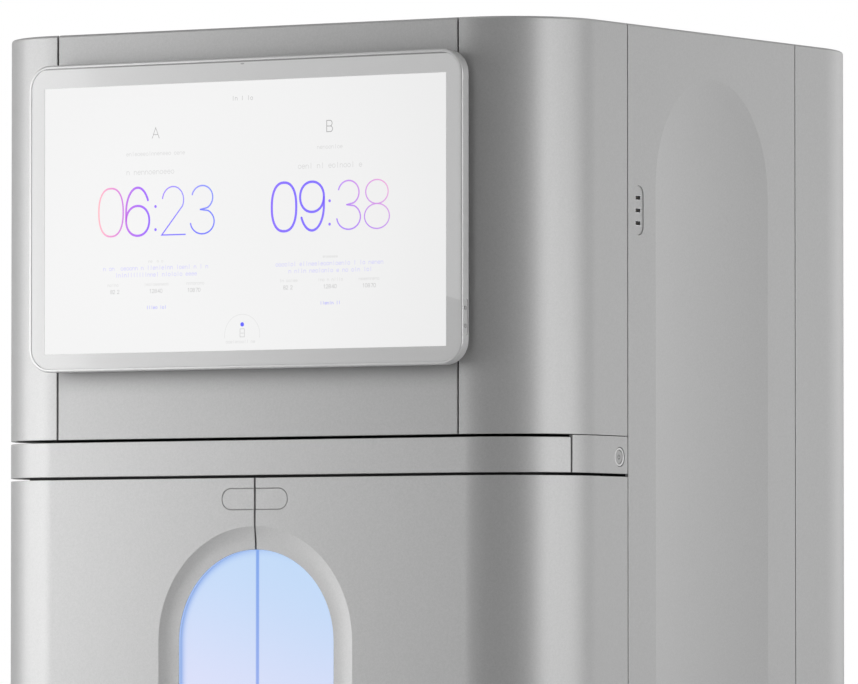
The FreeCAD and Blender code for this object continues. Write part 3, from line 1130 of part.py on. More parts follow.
def make_hinge_arms(pivot):
    """The goose-necked arms that carry the doors from the front uprights, and the pins."""
    x, y = pivot
    arms, pins = [], []
    front = f"({y} - hinge_arm_drop)"
    root = f"({SIDE_SEAM} + post_setback)"
    plate_front = f"({SIDE_SEAM} + seam_gap / 2)"
    plate = (f"{INNER_X} - post_size - hinge_arm_drop", f"{INNER_X} - hinge_leg")
    neck = [("hinge_arm_x", front, "hinge_leg / 2"), (f"{x} + hinge_leg / 3", front, None),
            (f"{x} + hinge_leg / 3", y, None), (f"{x} - hinge_knuckle", y, None),
            (f"{x} - hinge_knuckle", f"{front} + hinge_leg", None),
            ("hinge_arm_x + hinge_leg", f"{front} + hinge_leg", "hinge_leg / 3"),
            ("hinge_arm_x + hinge_leg", root, None), ("hinge_arm_x", root, None)]
    for i, level in hinge_levels():
        span = (f"{level} - hinge_arm_half", f"{level} + hinge_arm_half")
        arm = prism(f"hinge_neck_{i}", "z", neck, span)
        eye = rod(f"hinge_eye_{i}", "z", (x, y), span, "hinge_knuckle")
        foot = box(f"hinge_foot_{i}", ("hinge_arm_x", plate[1]), (plate_front, root),
                   (f"{level} - 2 * hinge_arm_half", f"{level} + 2 * hinge_arm_half"))
        bore_span = (f"{span[0]} - {PAST}", f"{span[1]} + {PAST}")
        bore = rod(f"hinge_bore_{i}", "z", (x, y), bore_span, "hinge_pin_radius")
        solid = cut(f"hinge_arm_{i}", fuse(f"hinge_blank_{i}", arm, eye, foot), bore)
        reach = "hinge_arm_half + 2 * seat_gap + hinge_lug"
        pin_span = (f"{level} - ({reach})", f"{level} + {reach}")
        pin = rod(f"hinge_pin_{i}", "z", (x, y), pin_span, "hinge_pin_radius")
        arms += [solid, mirrored(f"hinge_arm_{i}_left", solid)]
        pins += [pin, mirrored(f"hinge_pin_{i}_left", pin)]
    node("hinge_arms", group("hinge_arms_group", *arms))
    node("hinge_pins", group("hinge_pins_group", *pins))


def make_flow_cell_bay():
    """The bay behind the visor: stage with two flow cell nests, optics head and the modules behind."""
    floor = UPPER_FLOOR
    top = f"({floor} + bay_height)"
    mouth = f"({FRONT} + bay_setback)"
    back = f"({mouth} + bay_length)"
    wide = ("-bay_half_width", "bay_half_width")
    blank = box("bay_blank", wide, (mouth, back), (floor, top))
    inside = box("bay_inside", ("-bay_half_width + bay_wall", "bay_half_width - bay_wall"),
                 (f"{mouth} - {PAST}", f"{back} - bay_wall"), (f"{floor} + bay_wall", f"{top} - bay_wall"))
    node("flow_cell_bay", cut("flow_cell_bay_pan", blank, inside))

    rail_low = f"({floor} + bay_wall)"
    rail_top = f"({rail_low} + stage_rail_height)"
    plate_low = f"({rail_top} + seat_gap)"
    stage_y = (f"({mouth} + stage_setback)", f"({mouth} + stage_setback + stage_length)")
    rail_y = (f"{mouth} + stage_setback / 2", f"{stage_y[1]} + stage_travel + stage_rail_over")
    rails, blocks = [], []
    for side, x in (("right", "stage_rail_x"), ("left", "-stage_rail_x")):
        rail_x = (f"{x} - stage_rail_width / 2", f"{x} + stage_rail_width / 2")
        rails.append(box(f"stage_rail_{side}", rail_x, rail_y, (rail_low, rail_top)))
        for place, y in (("front", stage_y[0]), ("rear", f"{stage_y[1]} - stage_block")):
            name = f"stage_bearing_{side}_{place}"
            blank = box(f"{name}_blank", (f"{x} - stage_block / 2", f"{x} + stage_block / 2"),
                        (y, f"{y} + stage_block"), (f"{rail_low} + bay_wall", f"{plate_low} + {PAST}"))
            groove = box(f"{name}_groove", (f"{rail_x[0]} - seat_gap", f"{rail_x[1]} + seat_gap"),
                         (f"{y} - {PAST}", f"{y} + stage_block + {PAST}"), (f"{rail_low} - {PAST}", plate_low))
            blocks.append(cut(name, blank, groove))
    node("stage_rails", group("stage_rails_group", *rails))
    plate_top = f"({plate_low} + stage_plate)"
    plate = box("stage_plate_form", ("-stage_half_width", "stage_half_width"), stage_y, (plate_low, plate_top))
    node("stage_carriage", fuse("stage_carriage_solid", plate, *blocks))

    nests = []
    nest_top = f"({plate_top} + nest_height)"
    middle_y = f"({stage_y[0]} + stage_length / 2)"
    for side, x in (("right", "nest_x"), ("left", "-nest_x")):
        nest = prism(f"nest_{side}", "z",
                     rectangle((f"{x} - nest_width / 2", f"{x} + nest_width / 2"),
                               (f"{middle_y} - nest_length / 2", f"{middle_y} + nest_length / 2"),
                               "nest_corner"),
                     (plate_top, nest_top))
        pocket(nest, f"nest_{side}_seat", "z",
               rectangle((f"{x} - cell_width / 2", f"{x} + cell_width / 2"),
                         (f"{middle_y} - cell_length / 2", f"{middle_y} + cell_length / 2"), "cell_corner"),
               (f"{nest_top} - cell_depth", nest_top))
        nests.append(nest)
    node("flow_cell_nests", group("flow_cell_nests_group", *nests))

    ceiling = f"({top} - bay_wall)"
    head_y = (f"{back} - bay_wall - optics_length", f"{back} - bay_wall")
    head = box("optics_box", ("-optics_half_width", "optics_half_width"), head_y,
               (f"{ceiling} - optics_height", ceiling))
    barrels = [rod(f"objective_{side}", "z", (x, f"{back} - bay_wall - optics_length / 2"),
                   (f"{nest_top} + barrel_gap", f"{ceiling} - optics_height + {PAST}"), "barrel_radius")
               for side, x in (("right", "nest_x"), ("left", "-nest_x"))]
    node("optics_head", fuse("optics_head_solid", head, *barrels))
    rear = f"({back} + module_depth)"
    node("imaging_module", housing("imaging_box", wide, (back, rear), (floor, top)))
    node("computer_module", housing("computer_box", wide, (mouth, rear), (top, f"{top} + computer_height")))


def housing(name, x, y, z):
    """A sheet-metal equipment box, open at the rear where its plugs and cables go in."""
    blank = prism(name, "y", rectangle(x, z, "module_corner"), y)
    pocket(blank, f"{name}_inside", "y",
           rectangle((f"{x[0]} + module_wall", f"{x[1]} - module_wall"),
                     (f"{z[0]} + module_wall", f"{z[1]} - module_wall"), "module_corner - module_wall"),
           (f"{y[0]} + module_wall", y[1]))
    return blank


def make_fluidics():
    """Behind the doors: the reagent chiller with its sippers, and the two fluid drawers."""
    front = f"({FRONT} + rack_setback)"
    rear = f"({front} + rack_length)"
    wide = ("-rack_half_width", "rack_half_width")
    bay_rear = f"({rear} - 2 * chiller_wall)"
    chiller = box("chiller_blank", wide, (front, rear), ("chiller_level", "chiller_top"))
    bay_x = ("chiller_wall", "rack_half_width - chiller_wall")
    bay = box("chiller_bay", bay_x, (f"{front} - {PAST}", bay_rear),
              ("chiller_level + chiller_wall", "chiller_top - chiller_wall"))
    node("reagent_chiller", cut("chiller_housing", chiller, bay, mirrored("chiller_bay_left", bay)))

    middle = "(rack_half_width / 2)"
    rail_x = (f"{middle} - sipper_rail / 2", f"{middle} + sipper_rail / 2")
    head_top = "(chiller_top - chiller_wall - sipper_drop)"
    head_low = f"({head_top} - sipper_height)"
    rail = box("sipper_rail_form", rail_x, (f"{bay_rear} - sipper_rail_depth", bay_rear),
               (f"{head_low} - sipper_travel - sipper_rail_over", "chiller_top - chiller_wall"))
    node("sipper_rails", group("sipper_rails_group", rail, mirrored("sipper_rail_left", rail)))

    head_rear = f"({bay_rear} - 2 * sipper_rail_depth)"
    head_front = f"({head_rear} - sipper_length)"
    head = prism("sipper_block", "z",
                 rectangle((f"{middle} - sipper_half_width", f"{middle} + sipper_half_width"),
                           (head_front, head_rear), "sipper_corner"), (head_low, head_top))
    shoe = box("sipper_shoe", (f"{middle} - 1.5 * sipper_rail", f"{middle} + 1.5 * sipper_rail"),
               (f"{head_rear} - {PAST}", f"{bay_rear} - sipper_rail_depth / 2"), (head_low, head_top))
    groove = box("sipper_groove", (f"{rail_x[0]} - seat_gap", f"{rail_x[1]} + seat_gap"),
                 (f"{bay_rear} - sipper_rail_depth - seat_gap", bay_rear),
                 (f"{head_low} - {PAST}", f"{head_top} + {PAST}"))
    needle_span = (f"{head_low} - needle_length", f"{head_low} + {PAST}")
    needles = []
    for i in range(NEEDLE_COLUMNS):
        for j in range(NEEDLE_ROWS):
            x = f"{middle} + {i - (NEEDLE_COLUMNS - 1) / 2} * needle_pitch"
            y = f"{head_front} + sipper_length / 2 + {j - (NEEDLE_ROWS - 1) / 2} * needle_pitch"
            needles.append(rod(f"needle_{i + 1}_{j + 1}", "z", (x, y), needle_span, "needle_radius"))
    right = node("right_sipper", cut("right_sipper_solid", fuse("sipper_blank", head, shoe, *needles), groove))
    node("left_sipper", mirrored("left_sipper_solid", right))

    make_fluid_drawers(front, rear, wide)


def make_fluid_drawers(front, rear, wide):
    """The fluids cabinet under the chiller, with a buffer drawer and a waste drawer."""
    cabinet = box("fluids_blank", wide, (front, rear), ("base_top", "chiller_level"))
    bay = box("fluids_bay", ("rack_wall / 2", "rack_half_width - rack_wall"),
              (f"{front} - {PAST}", f"{rear} - rack_wall"),
              ("base_top + rack_wall", "chiller_level - rack_wall"))
    node("fluids_cabinet", cut("fluids_housing", cabinet, bay, mirrored("fluids_bay_left", bay)))

    drawer_x = ("rack_wall / 2 + drawer_gap", "rack_half_width - rack_wall - drawer_gap")
    low = "(base_top + rack_wall + seat_gap)"
    tray = box("fluid_tray", drawer_x, (front, f"{rear} - rack_wall - drawer_gap"),
               (low, f"{low} + drawer_side_height"))
    hollow = box("fluid_tray_inside", (f"{drawer_x[0]} + drawer_wall", f"{drawer_x[1]} - drawer_wall"),
                 (f"{front} + drawer_wall", f"{rear} - rack_wall - drawer_gap - drawer_wall"),
                 (f"{low} + drawer_wall", f"{low} + drawer_side_height + {BEYOND}"))
    face = box("fluid_drawer_face", ("rack_wall / 2", "rack_half_width - rack_wall"),
               (f"{front} - drawer_face - seat_gap", f"{front} - seat_gap"),
               (low, "chiller_level - rack_wall"))
    face_joint = box("fluid_drawer_joint", drawer_x, (f"{front} - {PAST}", f"{front} + drawer_wall"),
                     (low, f"{low} + drawer_side_height"))
    grip_level = "(chiller_level - 5 * rack_wall)"
    reach = (f"{front} - drawer_face - handle_reach", f"{front} - drawer_face")
    grip = (f"{grip_level} - handle_bar / 2", f"{grip_level} + handle_bar / 2")
    ends = ("(drawer_middle - handle_span / 2)", "(drawer_middle + handle_span / 2)")
    bar = box("handle_bar_form", ends, (reach[0], f"{reach[0]} + handle_bar"), grip)
    legs = [box("handle_leg_left", (ends[0], f"{ends[0]} + handle_bar"), reach, grip),
            box("handle_leg_right", (f"{ends[1]} - handle_bar", ends[1]), reach, grip)]
    drawer = cut("waste_drawer_solid", fuse("waste_drawer_blank", tray, face, face_joint, bar, *legs), hollow)
    node("waste_drawer", drawer)
    node("buffer_drawer", mirrored("buffer_drawer_solid", drawer))

    floor = f"({low} + drawer_wall)"
    bottle = [("0", "0", None), ("bottle_radius", "0", "bottle_foot_round"),
              ("bottle_radius", "bottle_height", "bottle_shoulder_round"),
              ("bottle_neck_radius", "bottle_height", None),
              ("bottle_neck_radius", "bottle_height + bottle_neck_height", "bottle_neck_round"),
              ("0", "bottle_height + bottle_neck_height", None)]
    middle_y = f"({front} + rack_length / 2)"
    bottles = [turned(f"waste_bottle_{i + 1}", bottle,
                      (f"drawer_middle + {i - 0.5} * bottle_step", middle_y, floor)) for i in range(2)]
    node("waste_bottles", group("waste_bottles_group", *bottles))
    supply_y = (f"{REAR} - cover_thickness - supply_setback - supply_length",
                f"{REAR} - cover_thickness - supply_setback")
    node("power_supply", housing("power_supply_box", ("-supply_half_width", "supply_half_width"), supply_y,
                                 ("base_top", "base_top + supply_height")))


def check_and_export():
    """Recomputes, stops on a failed object or an invalid shape, and writes one file per sub-part."""
    doc.recompute()
    failed = [thing.Label for thing in doc.Objects if "Invalid" in thing.State or "Error" in thing.State]
    if failed:
        raise SystemExit(f"failed objects: {failed}")
    os.makedirs("parts", exist_ok=True)
    for thing in nodes:
        shape = thing.Shape
        if shape.isNull() or not shape.isValid() or not shape.Solids:
            raise SystemExit(f"{thing.Label} has no valid solid")
        shape.exportStep(f"parts/{thing.Label}.step")
    print(f"{len(nodes)} sub-parts written")


fill_sheet()
shells = make_shells()
make_base(shells)
make_covers(shells)
make_power_button(shells)
make_visor(shells)
make_monitor()
make_keyboard_drawer(shells)
make_doors(shells)
make_flow_cell_bay()
make_fluidics()
check_and_export()
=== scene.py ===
"""Looks of a floor-standing DNA sequencer: satin silver covers, a lit touch screen and glowing windows."""

import json
import logging
import math
from dataclasses import dataclass, field
from enum import Enum
from typing import Any, Optional, Sequence, Union

import bmesh
import bpy
from mathutils import Matrix, Vector

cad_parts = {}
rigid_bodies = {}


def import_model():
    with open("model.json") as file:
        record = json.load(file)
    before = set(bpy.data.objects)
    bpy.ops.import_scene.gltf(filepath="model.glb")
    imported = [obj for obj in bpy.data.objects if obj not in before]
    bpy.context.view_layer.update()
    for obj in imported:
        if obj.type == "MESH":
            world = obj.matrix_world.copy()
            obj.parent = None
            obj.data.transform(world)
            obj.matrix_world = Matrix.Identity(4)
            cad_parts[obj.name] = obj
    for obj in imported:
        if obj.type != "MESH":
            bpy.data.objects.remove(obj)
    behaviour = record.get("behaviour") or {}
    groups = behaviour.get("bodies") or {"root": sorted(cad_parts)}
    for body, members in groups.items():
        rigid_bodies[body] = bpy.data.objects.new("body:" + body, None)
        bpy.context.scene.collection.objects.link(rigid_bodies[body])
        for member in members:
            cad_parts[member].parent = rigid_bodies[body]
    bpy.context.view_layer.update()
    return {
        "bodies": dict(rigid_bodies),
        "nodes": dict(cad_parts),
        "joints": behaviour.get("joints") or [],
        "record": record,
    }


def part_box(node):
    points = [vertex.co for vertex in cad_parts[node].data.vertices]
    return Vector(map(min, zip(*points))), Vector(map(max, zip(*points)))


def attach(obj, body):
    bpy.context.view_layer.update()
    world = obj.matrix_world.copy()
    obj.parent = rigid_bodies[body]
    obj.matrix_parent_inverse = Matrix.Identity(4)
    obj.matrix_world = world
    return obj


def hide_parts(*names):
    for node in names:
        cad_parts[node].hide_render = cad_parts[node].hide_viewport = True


LOG = logging.getLogger("sequencer")
MM = 0.001
Number = Union[float, int]
Colour = tuple[float, float, float]
Point = tuple[float, float]
Place = tuple[float, float, float]
Ring = tuple[float, float, bool]


def srgb(red: Number, green: Number, blue: Number) -> Colour:
    """Turns a colour written 0 to 255 into the linear values that a shader takes.

    Args:
        red: Red, 0 to 255.
        green: Green, 0 to 255.
        blue: Blue, 0 to 255.

    Returns:
        The three linear values.
    """
    def linear(level: Number) -> float:
        """One value, by the curve of the sRGB standard."""
        share = level / 255
        return share / 12.92 if share <= 0.04045 else ((share + 0.055) / 1.055) ** 2.4

    return linear(red), linear(green), linear(blue)


def toned(colour: Colour, share: float) -> Colour:
    """A colour made darker or lighter by a share."""
    return tuple(part * share for part in colour)


class Body(Enum):
    """The moving and fixed bodies of the instrument."""

    CABINET = "cabinet"
    VISOR = "visor"
    UPPER_KEY = "monitor_upper_button"
    LOWER_KEY = "monitor_lower_button"
    DRAWER = "keyboard_drawer"
    LEFT_DOOR = "left_door"
    RIGHT_DOOR = "right_door"
    POWER = "power_button"
    LEFT_SIPPER = "left_sipper"
    RIGHT_SIPPER = "right_sipper"
    BUFFER = "buffer_drawer"
    WASTE = "waste_drawer"
    STAGE = "stage"
    LEFT_FAN = "left_fan"
    RIGHT_FAN = "right_fan"


class Wire:
    """A shader socket that can be used in an arithmetic expression."""

    def __init__(self, graph: "Graph", socket: bpy.types.NodeSocket) -> None:
        """Keeps the socket and the graph that it belongs to."""
        self.graph = graph
        self.socket = socket

    def _math(self, operation: str, first: Any, second: Any) -> "Wire":
        """Adds one Math node and returns its result."""
        return self.graph.add("ShaderNodeMath", {"operation": operation}, {0: first, 1: second})

    def __add__(self, other: Any) -> "Wire":
        """This plus another."""
        return self._math("ADD", self, other)

    def __sub__(self, other: Any) -> "Wire":
        """This minus another."""
        return self._math("SUBTRACT", self, other)

    def __rsub__(self, other: Any) -> "Wire":
        """Another minus this."""
        return self._math("SUBTRACT", other, self)

    def __mul__(self, other: Any) -> "Wire":
        """This times another."""
        return self._math("MULTIPLY", self, other)

    def __truediv__(self, other: Any) -> "Wire":
        """This over another."""
        return self._math("DIVIDE", self, other)

    def size(self) -> "Wire":
        """The absolute value."""
        return self._math("ABSOLUTE", self, 0.0)

    def smallest(self, other: Any) -> "Wire":
        """The smaller of this and another."""
        return self._math("MINIMUM", self, other)

    def largest(self, other: Any) -> "Wire":
        """The larger of this and another."""
        return self._math("MAXIMUM", self, other)

    def root(self) -> "Wire":
        """The square root."""
        return self._math("SQRT", self, 0.0)

    def rise(self, low: float, high: float) -> "Wire":
        """A smooth step from 0 at low to 1 at high, or the other way round where low is the larger."""
        start, end = (0.0, 1.0) if low < high else (1.0, 0.0)
        return self.graph.add("ShaderNodeMapRange", {"interpolation_type": "SMOOTHSTEP"},
                              {0: self, 1: min(low, high), 2: max(low, high), 3: start, 4: end})


class Graph:
    """The node tree of a material, of the world or of a modifier, with one method that makes every node."""

    def __init__(self, tree: bpy.types.NodeTree) -> None:
        """Empties the tree."""
        self.tree = tree
        tree.nodes.clear()

    def plug(self, socket: bpy.types.NodeSocket, value: Any) -> None:
        """Links a wire to a socket, or sets the socket's value.

        Args:
            socket: The input socket.
            value: A wire, a number, or a colour or vector of three numbers.
        """
        if isinstance(value, Wire):
            self.tree.links.new(value.socket, socket)
        elif socket.type == "RGBA" and len(value) == 3:
            socket.default_value = (*value, 1.0)
        else:
            socket.default_value = value

    def add(self, kind: str, settings: Optional[dict[str, Any]] = None,
            inputs: Optional[dict[Union[str, int], Any]] = None, output: Union[str, int] = 0) -> Wire:
        """Makes a node, sets it up and returns one of its outputs.

        Args:
            kind: The node's type name.
            settings: Its properties, set before its sockets; "stops" holds a colour ramp's stops.
            inputs: Values or wires for its input sockets, by name or number.
            output: The output socket to return.

        Returns:
            The wire of that output.
        """
        node = self.tree.nodes.new(kind)
        for name, value in (settings or {}).items():
            if name == "stops":
                self._set_stops(node.color_ramp, value)
            else:
                setattr(node, name, value)
        for key, value in (inputs or {}).items():
            self.plug(node.inputs[key], value)
        return Wire(self, node.outputs[output]) if len(node.outputs) else Wire(self, None)

    @staticmethod
    def _set_stops(ramp: bpy.types.ColorRamp, stops: Sequence[tuple[float, Colour]]) -> None:
        """Gives a ramp its stops, in order.

        Args:
            ramp: The colour ramp.
            stops: Each stop's place, from 0 to 1, and colour.
        """
        while len(ramp.elements) > 1:
            ramp.elements.remove(ramp.elements[-1])
        for index, (place, colour) in enumerate(stops):
            element = ramp.elements[0] if index == 0 else ramp.elements.new(place)
            element.position = place
            element.color = (*colour, 1.0)

    def place(self) -> tuple[Wire, Wire, Wire]:
        """The place on the object, as three wires in metres.

        Returns:
            The wires of x, y and z.
        """
        coordinates = self.add("ShaderNodeTexCoord", output="Object")
        parts = self.add("ShaderNodeSeparateXYZ", inputs={0: coordinates})
        outputs = parts.socket.node.outputs
        return Wire(self, outputs[0]), Wire(self, outputs[1]), Wire(self, outputs[2])

    def noise(self, scale: float, detail: float = 2.0, stretch: Place = (1.0, 1.0, 1.0)) -> Wire:
        """Noise over the object, from 0 to 1, stretched where a finish has a direction."""
        coordinates = self.add("ShaderNodeTexCoord", output="Object")
        mapped = self.add("ShaderNodeMapping", inputs={0: coordinates, "Scale": stretch})
        return self.add("ShaderNodeTexNoise", inputs={"Vector": mapped, "Scale": scale, "Detail": detail})

    def tint(self, share: Wire, first: Any, second: Any) -> Wire:
        """A colour between two, by a share."""
        return self.add("ShaderNodeMix", {"data_type": "RGBA"}, {0: share, 6: first, 7: second}, output=2)

    def relief(self, height: Wire, depth: float, strength: float = 1.0) -> Wire:
        """A bump from a height between 0 and 1."""
        inputs = {"Height": height, "Distance": depth, "Strength": strength}
        return self.add("ShaderNodeBump", inputs=inputs)

    def finish(self, settings: dict[str, Any]) -> None:
        """Ends a material's tree in a Principled BSDF.

        Args:
            settings: Values or wires for the shader's sockets, by name.
        """
        shader = self.add("ShaderNodeBsdfPrincipled", inputs=settings)
        self.add("ShaderNodeOutputMaterial", inputs={0: shader})


@dataclass(frozen=True)
class Finish:
    """A finish: a name and what its shader needs. Each kind of finish fills in paint()."""

    name: str
    colour: Colour

    def material(self) -> bpy.types.Material:
        """The material of this finish, made once.

        Returns:
            The material.
        """
        known = bpy.data.materials.get(self.name)
        if known:
            return known
        made = bpy.data.materials.new(self.name)
        made.use_nodes = True
        made.diffuse_color = (*self.colour, 1.0)
        self.paint(Graph(made.node_tree))
        return made

    def paint(self, graph: Graph) -> None:
        """Builds the finish's nodes.

        Args:
            graph: The material's tree.
        """
        raise NotImplementedError


@dataclass(frozen=True)
class Surface(Finish):
    """A surface that isn't lit: how its tone and its roughness vary, and its fine relief."""

    roughness: float = 0.5
    metal: float = 0.0
    tones: Point = (1.0, 1.0)
    spread: float = 0.06
    strength: float = 0.4
    relief: float = 0.02 * MM

    def end(self, graph: Graph, tone: Wire, rough: Wire, bumps: Wire) -> None:
        """Ends the tree.

        Args:
            graph: The tree.
            tone: Where it is light, from 0 to 1.
            rough: Where it is rough, from 0 to 1.
            bumps: The relief's height.
        """
        dark, light = (toned(self.colour, share) for share in self.tones)
        graph.finish({
            "Base Color": graph.tint(tone, dark, light),
            "Metallic": self.metal,
            "Roughness": rough * self.spread + (self.roughness - self.spread / 2),
            "Normal": graph.relief(bumps, self.relief, self.strength),
        })


@dataclass(frozen=True)
class SilverPaint(Surface):
    """Satin paint with fine metal flake: a mottle of light and dark flakes under a soft sheen."""

    roughness: float = 0.44
    metal: float = 0.35
    tones: Point = (0.93, 1.07)
    strength: float = 0.35
    grains: Point = (1500.0, 420.0)
    fine_share: float = 0.6

    def paint(self, graph: Graph) -> None:
        """Builds the finish's nodes.

        Args:
            graph: The material's tree.
        """
        fine, broad = graph.noise(self.grains[0], 1.0), graph.noise(self.grains[1], 2.0)
        mottle = fine * self.fine_share + broad * (1 - self.fine_share)
        self.end(graph, mottle.rise(0.3, 0.7), mottle.rise(0.25, 0.75), mottle)


@dataclass(frozen=True)
class VisorShadowPaint(SilverPaint):
    """The same paint on the visor in a darker copy, with a painted shadow close under the screen that stands
    in for the screen's shade.
    """

    screen_low: float = 1.1517
    screen_half: float = 0.3275
    reach: float = 0.034
    depth: float = 0.52

    def paint(self, graph: Graph) -> None:
        """Builds the finish's nodes.

        Args:
            graph: The material's tree.
        """
        super().paint(graph)
        shader = next(node for node in graph.tree.nodes if node.type == "BSDF_PRINCIPLED")
        base = Wire(graph, shader.inputs["Base Color"].links[0].from_socket)
        x, _, z = graph.place()
        # Painted shadow: the base colour darkens in a band close under the screen, across the screen's width.
        down = (z * -1.0 + self.screen_low).largest(0.0)
        close = down.rise(self.reach, -self.reach * 0.4)
        beside = x.size().rise(self.screen_half, self.screen_half - 0.03)
        under = z.rise(self.screen_low + 0.3, self.screen_low + 0.1)
        graph.plug(shader.inputs["Base Color"],
                   graph.tint(close * beside * under, base, toned(self.colour, 1 - self.depth)))


@dataclass(frozen=True)
class PowderCoat(Surface):
    """Powder-coated or painted sheet metal with a fine orange peel."""

    tones: Point = (0.97, 1.02)
    spread: float = 0.1
    relief: float = 0.06 * MM
    grain: float = 700.0

    def paint(self, graph: Graph) -> None:
        """Builds the finish's nodes.

        Args:
            graph: The material's tree.
        """
        peel, patch = graph.noise(self.grain, 2.0), graph.noise(9.0, 3.0)
        self.end(graph, patch.rise(0.3, 0.7), patch, peel)


@dataclass(frozen=True)
class GroundSteel(Surface):
    """Ground or drawn steel with fine lines along one axis."""

    roughness: float = 0.3
    metal: float = 1.0
    tones: Point = (0.86, 1.0)
    spread: float = 0.16
    strength: float = 0.3
    relief: float = 0.01 * MM
    grain: float = 2600.0
    stretch: Place = (1.0, 1.0, 0.03)

    def paint(self, graph: Graph) -> None:
        """Builds the finish's nodes.

        Args:
            graph: The material's tree.
        """
        lines = graph.noise(self.grain, 2.0, self.stretch)
        self.end(graph, lines.rise(0.3, 0.7), lines, lines)


@dataclass(frozen=True)
class BlastedAluminium(Surface):
    """Bead-blasted, anodised aluminium."""

    roughness: float = 0.36
    metal: float = 0.8
    tones: Point = (0.94, 1.0)
    strength: float = 0.35
    grain: float = 2300.0

    def paint(self, graph: Graph) -> None:
        """Builds the finish's nodes.

        Args:
            graph: The material's tree.
        """
        pits, patch = graph.noise(self.grain, 2.0), graph.noise(14.0, 2.0)
        self.end(graph, pits.rise(0.3, 0.7), patch, pits)


@dataclass(frozen=True)
class MouldedPlastic(Surface):
    """Moulded plastic with a fine spark-eroded texture."""

    tones: Point = (0.975, 1.0)
    spread: float = 0.12
    relief: float = 0.04 * MM
    grain: float = 1300.0

    def paint(self, graph: Graph) -> None:
        """Builds the finish's nodes.

        Args:
            graph: The material's tree.
        """
        sparks, patch = graph.noise(self.grain, 3.0), graph.noise(20.0, 2.0)
        self.end(graph, patch.rise(0.35, 0.65), sparks, sparks)


@dataclass(frozen=True)
class BorderGlass(Finish):
    """Glass with a pale back and a painted glow that stands in for the light falling on it, with painted
    shade at the lower right.

    A dark line runs along its top edge, where it sits in the housing, over the small window of a sensor.
    """

    # glow: strength of the painted light on the border.
    glow: float = 0.22
    corner: Point = (0.303, 1.2375)
    slant: float = 0.27
    top: float = 1.5426
    joint: float = 1.7 * MM
    sensor: Point = (3.0 * MM, 0.9 * MM)
    sensor_drop: float = 3.9 * MM
    joint_colour: Colour = (0.22, 0.22, 0.22)
    shares: Colour = (1.0, 0.68, 0.45)

    def paint(self, graph: Graph) -> None:
        """Builds the finish's nodes.

        Args:
            graph: The material's tree.
        """
        x, _, z = graph.place()
        # Painted light: the emission stands in for light on the border, dimmer towards the lower right as
        # painted shade.
        level = z + (x - self.corner[0]) * self.slant
        under = level.rise(self.corner[1] + MM, self.corner[1] - MM) * x.rise(-0.1, 0.3)
        bright, painted_shade_glow, dim = ((share * self.glow,) * 3 for share in self.shares)
        across = x / self.sensor[0]
        upward = (z - (self.top - self.sensor_drop)) / self.sensor[1]
        lens = (across * across + upward * upward).root().rise(1.2, 0.7) * 0.75
        edge = self.top - self.joint
        line = z.rise(edge - 0.2 * MM, edge + 0.2 * MM).largest(lens)
        haze = graph.noise(900.0, 2.0)
        glass = graph.tint(haze.rise(0.3, 0.7), toned(self.colour, 0.97), self.colour)
        graph.finish({
            "Base Color": graph.tint(line, glass, self.joint_colour),
            "Roughness": haze * 0.03 + 0.2,
            "Coat Weight": 0.3,
            "Coat Roughness": 0.05,
            "Emission Color": graph.tint(line, graph.tint(under, bright, painted_shade_glow), dim),
            "Emission Strength": 1.0,
        })


@dataclass(frozen=True)
class ScreenGlow(Finish):
    """The lit screen: an even pale light, a little dimmer towards its edges."""

    level: float = 1.346
    reach: float = 0.34

    def paint(self, graph: Graph) -> None:
        """Builds the finish's nodes.

        Args:
            graph: The material's tree.
        """
        x, _, z = graph.place()
        across = x / self.reach
        rise = (z - self.level) / self.reach
        away = (across * across + rise * rise).root()
        graph.finish({
            "Base Color": (0.03, 0.03, 0.03),
            "Roughness": 0.3,
            "Specular IOR Level": 0.3,
            "Emission Color": graph.tint(away.rise(0.4, 1.2), self.colour, toned(self.colour, 0.95)),
            "Emission Strength": 1.0,
        })


@dataclass(frozen=True)
class Ink(Finish):
    """Bright ink on the screen."""

    def shine(self, graph: Graph, light: Wire) -> None:
        """Ends the tree in a dark surface that gives off light.

        Args:
            graph: The material's tree.
            light: The light's colour.
        """
        graph.finish({
            "Base Color": (0.02, 0.02, 0.02),
            "Roughness": 0.4,
            "Emission Color": light,
            "Emission Strength": 1.0,
        })


@dataclass(frozen=True)
class WindowGlow(Finish):
    """The doors' lit windows: pale blue, lilac lower down, deeper blue at the split, and a painted shade of
    deeper blue along the left rim where the opening's wall shades the pane.
    """

    lower: Colour = (0.70, 0.70, 0.89)
    # rim: the colour of the painted shade along the left rim.
    rim: Colour = (0.27, 0.42, 0.79)
    split_low: Colour = (0.36, 0.43, 0.80)
    split_high: Colour = (0.22, 0.38, 0.80)
    arch_radius: float = 0.1164
    arch_levels: Point = (0.380, 0.8065)
    fade: Point = (0.64, 0.93)
    rim_shade_width: float = 0.012

    def paint(self, graph: Graph) -> None:
        """Builds the finish's nodes.

        Args:
            graph: The material's tree.
        """
        x, _, z = graph.place()
        low, high = self.arch_levels
        rise = z - z.largest(low).smallest(high)
        reach = (x * x + rise * rise).root()
        inward = self.arch_radius - reach
        # Painted shade: deeper blue along the rim, strongest at the left and gone at the right.
        leftward = (0.1 - x) / 0.2
        rim_shade_share = (1.0 - inward / self.rim_shade_width).largest(0.0)
        rim = rim_shade_share * rim_shade_share * leftward.rise(0.1, 0.85)
        split = x.size().rise(0.0034, 0.0016)
        cloud = graph.noise(6.0, 1.0)
        share = (z + x * 0.25 + cloud * 0.02 - 0.01).rise(self.fade[0], self.fade[1])
        glow = graph.tint(rim, graph.tint(share, self.lower, self.colour), self.rim)
        split_glow = graph.tint(z.rise(0.6, 0.95), self.split_low, self.split_high)
        graph.finish({
            "Base Color": (0.03, 0.035, 0.045),
            "Roughness": 0.4,
            "Specular IOR Level": 0.25,
            "Emission Color": graph.tint(split, glow, split_glow),
            "Emission Strength": 1.0,
        })


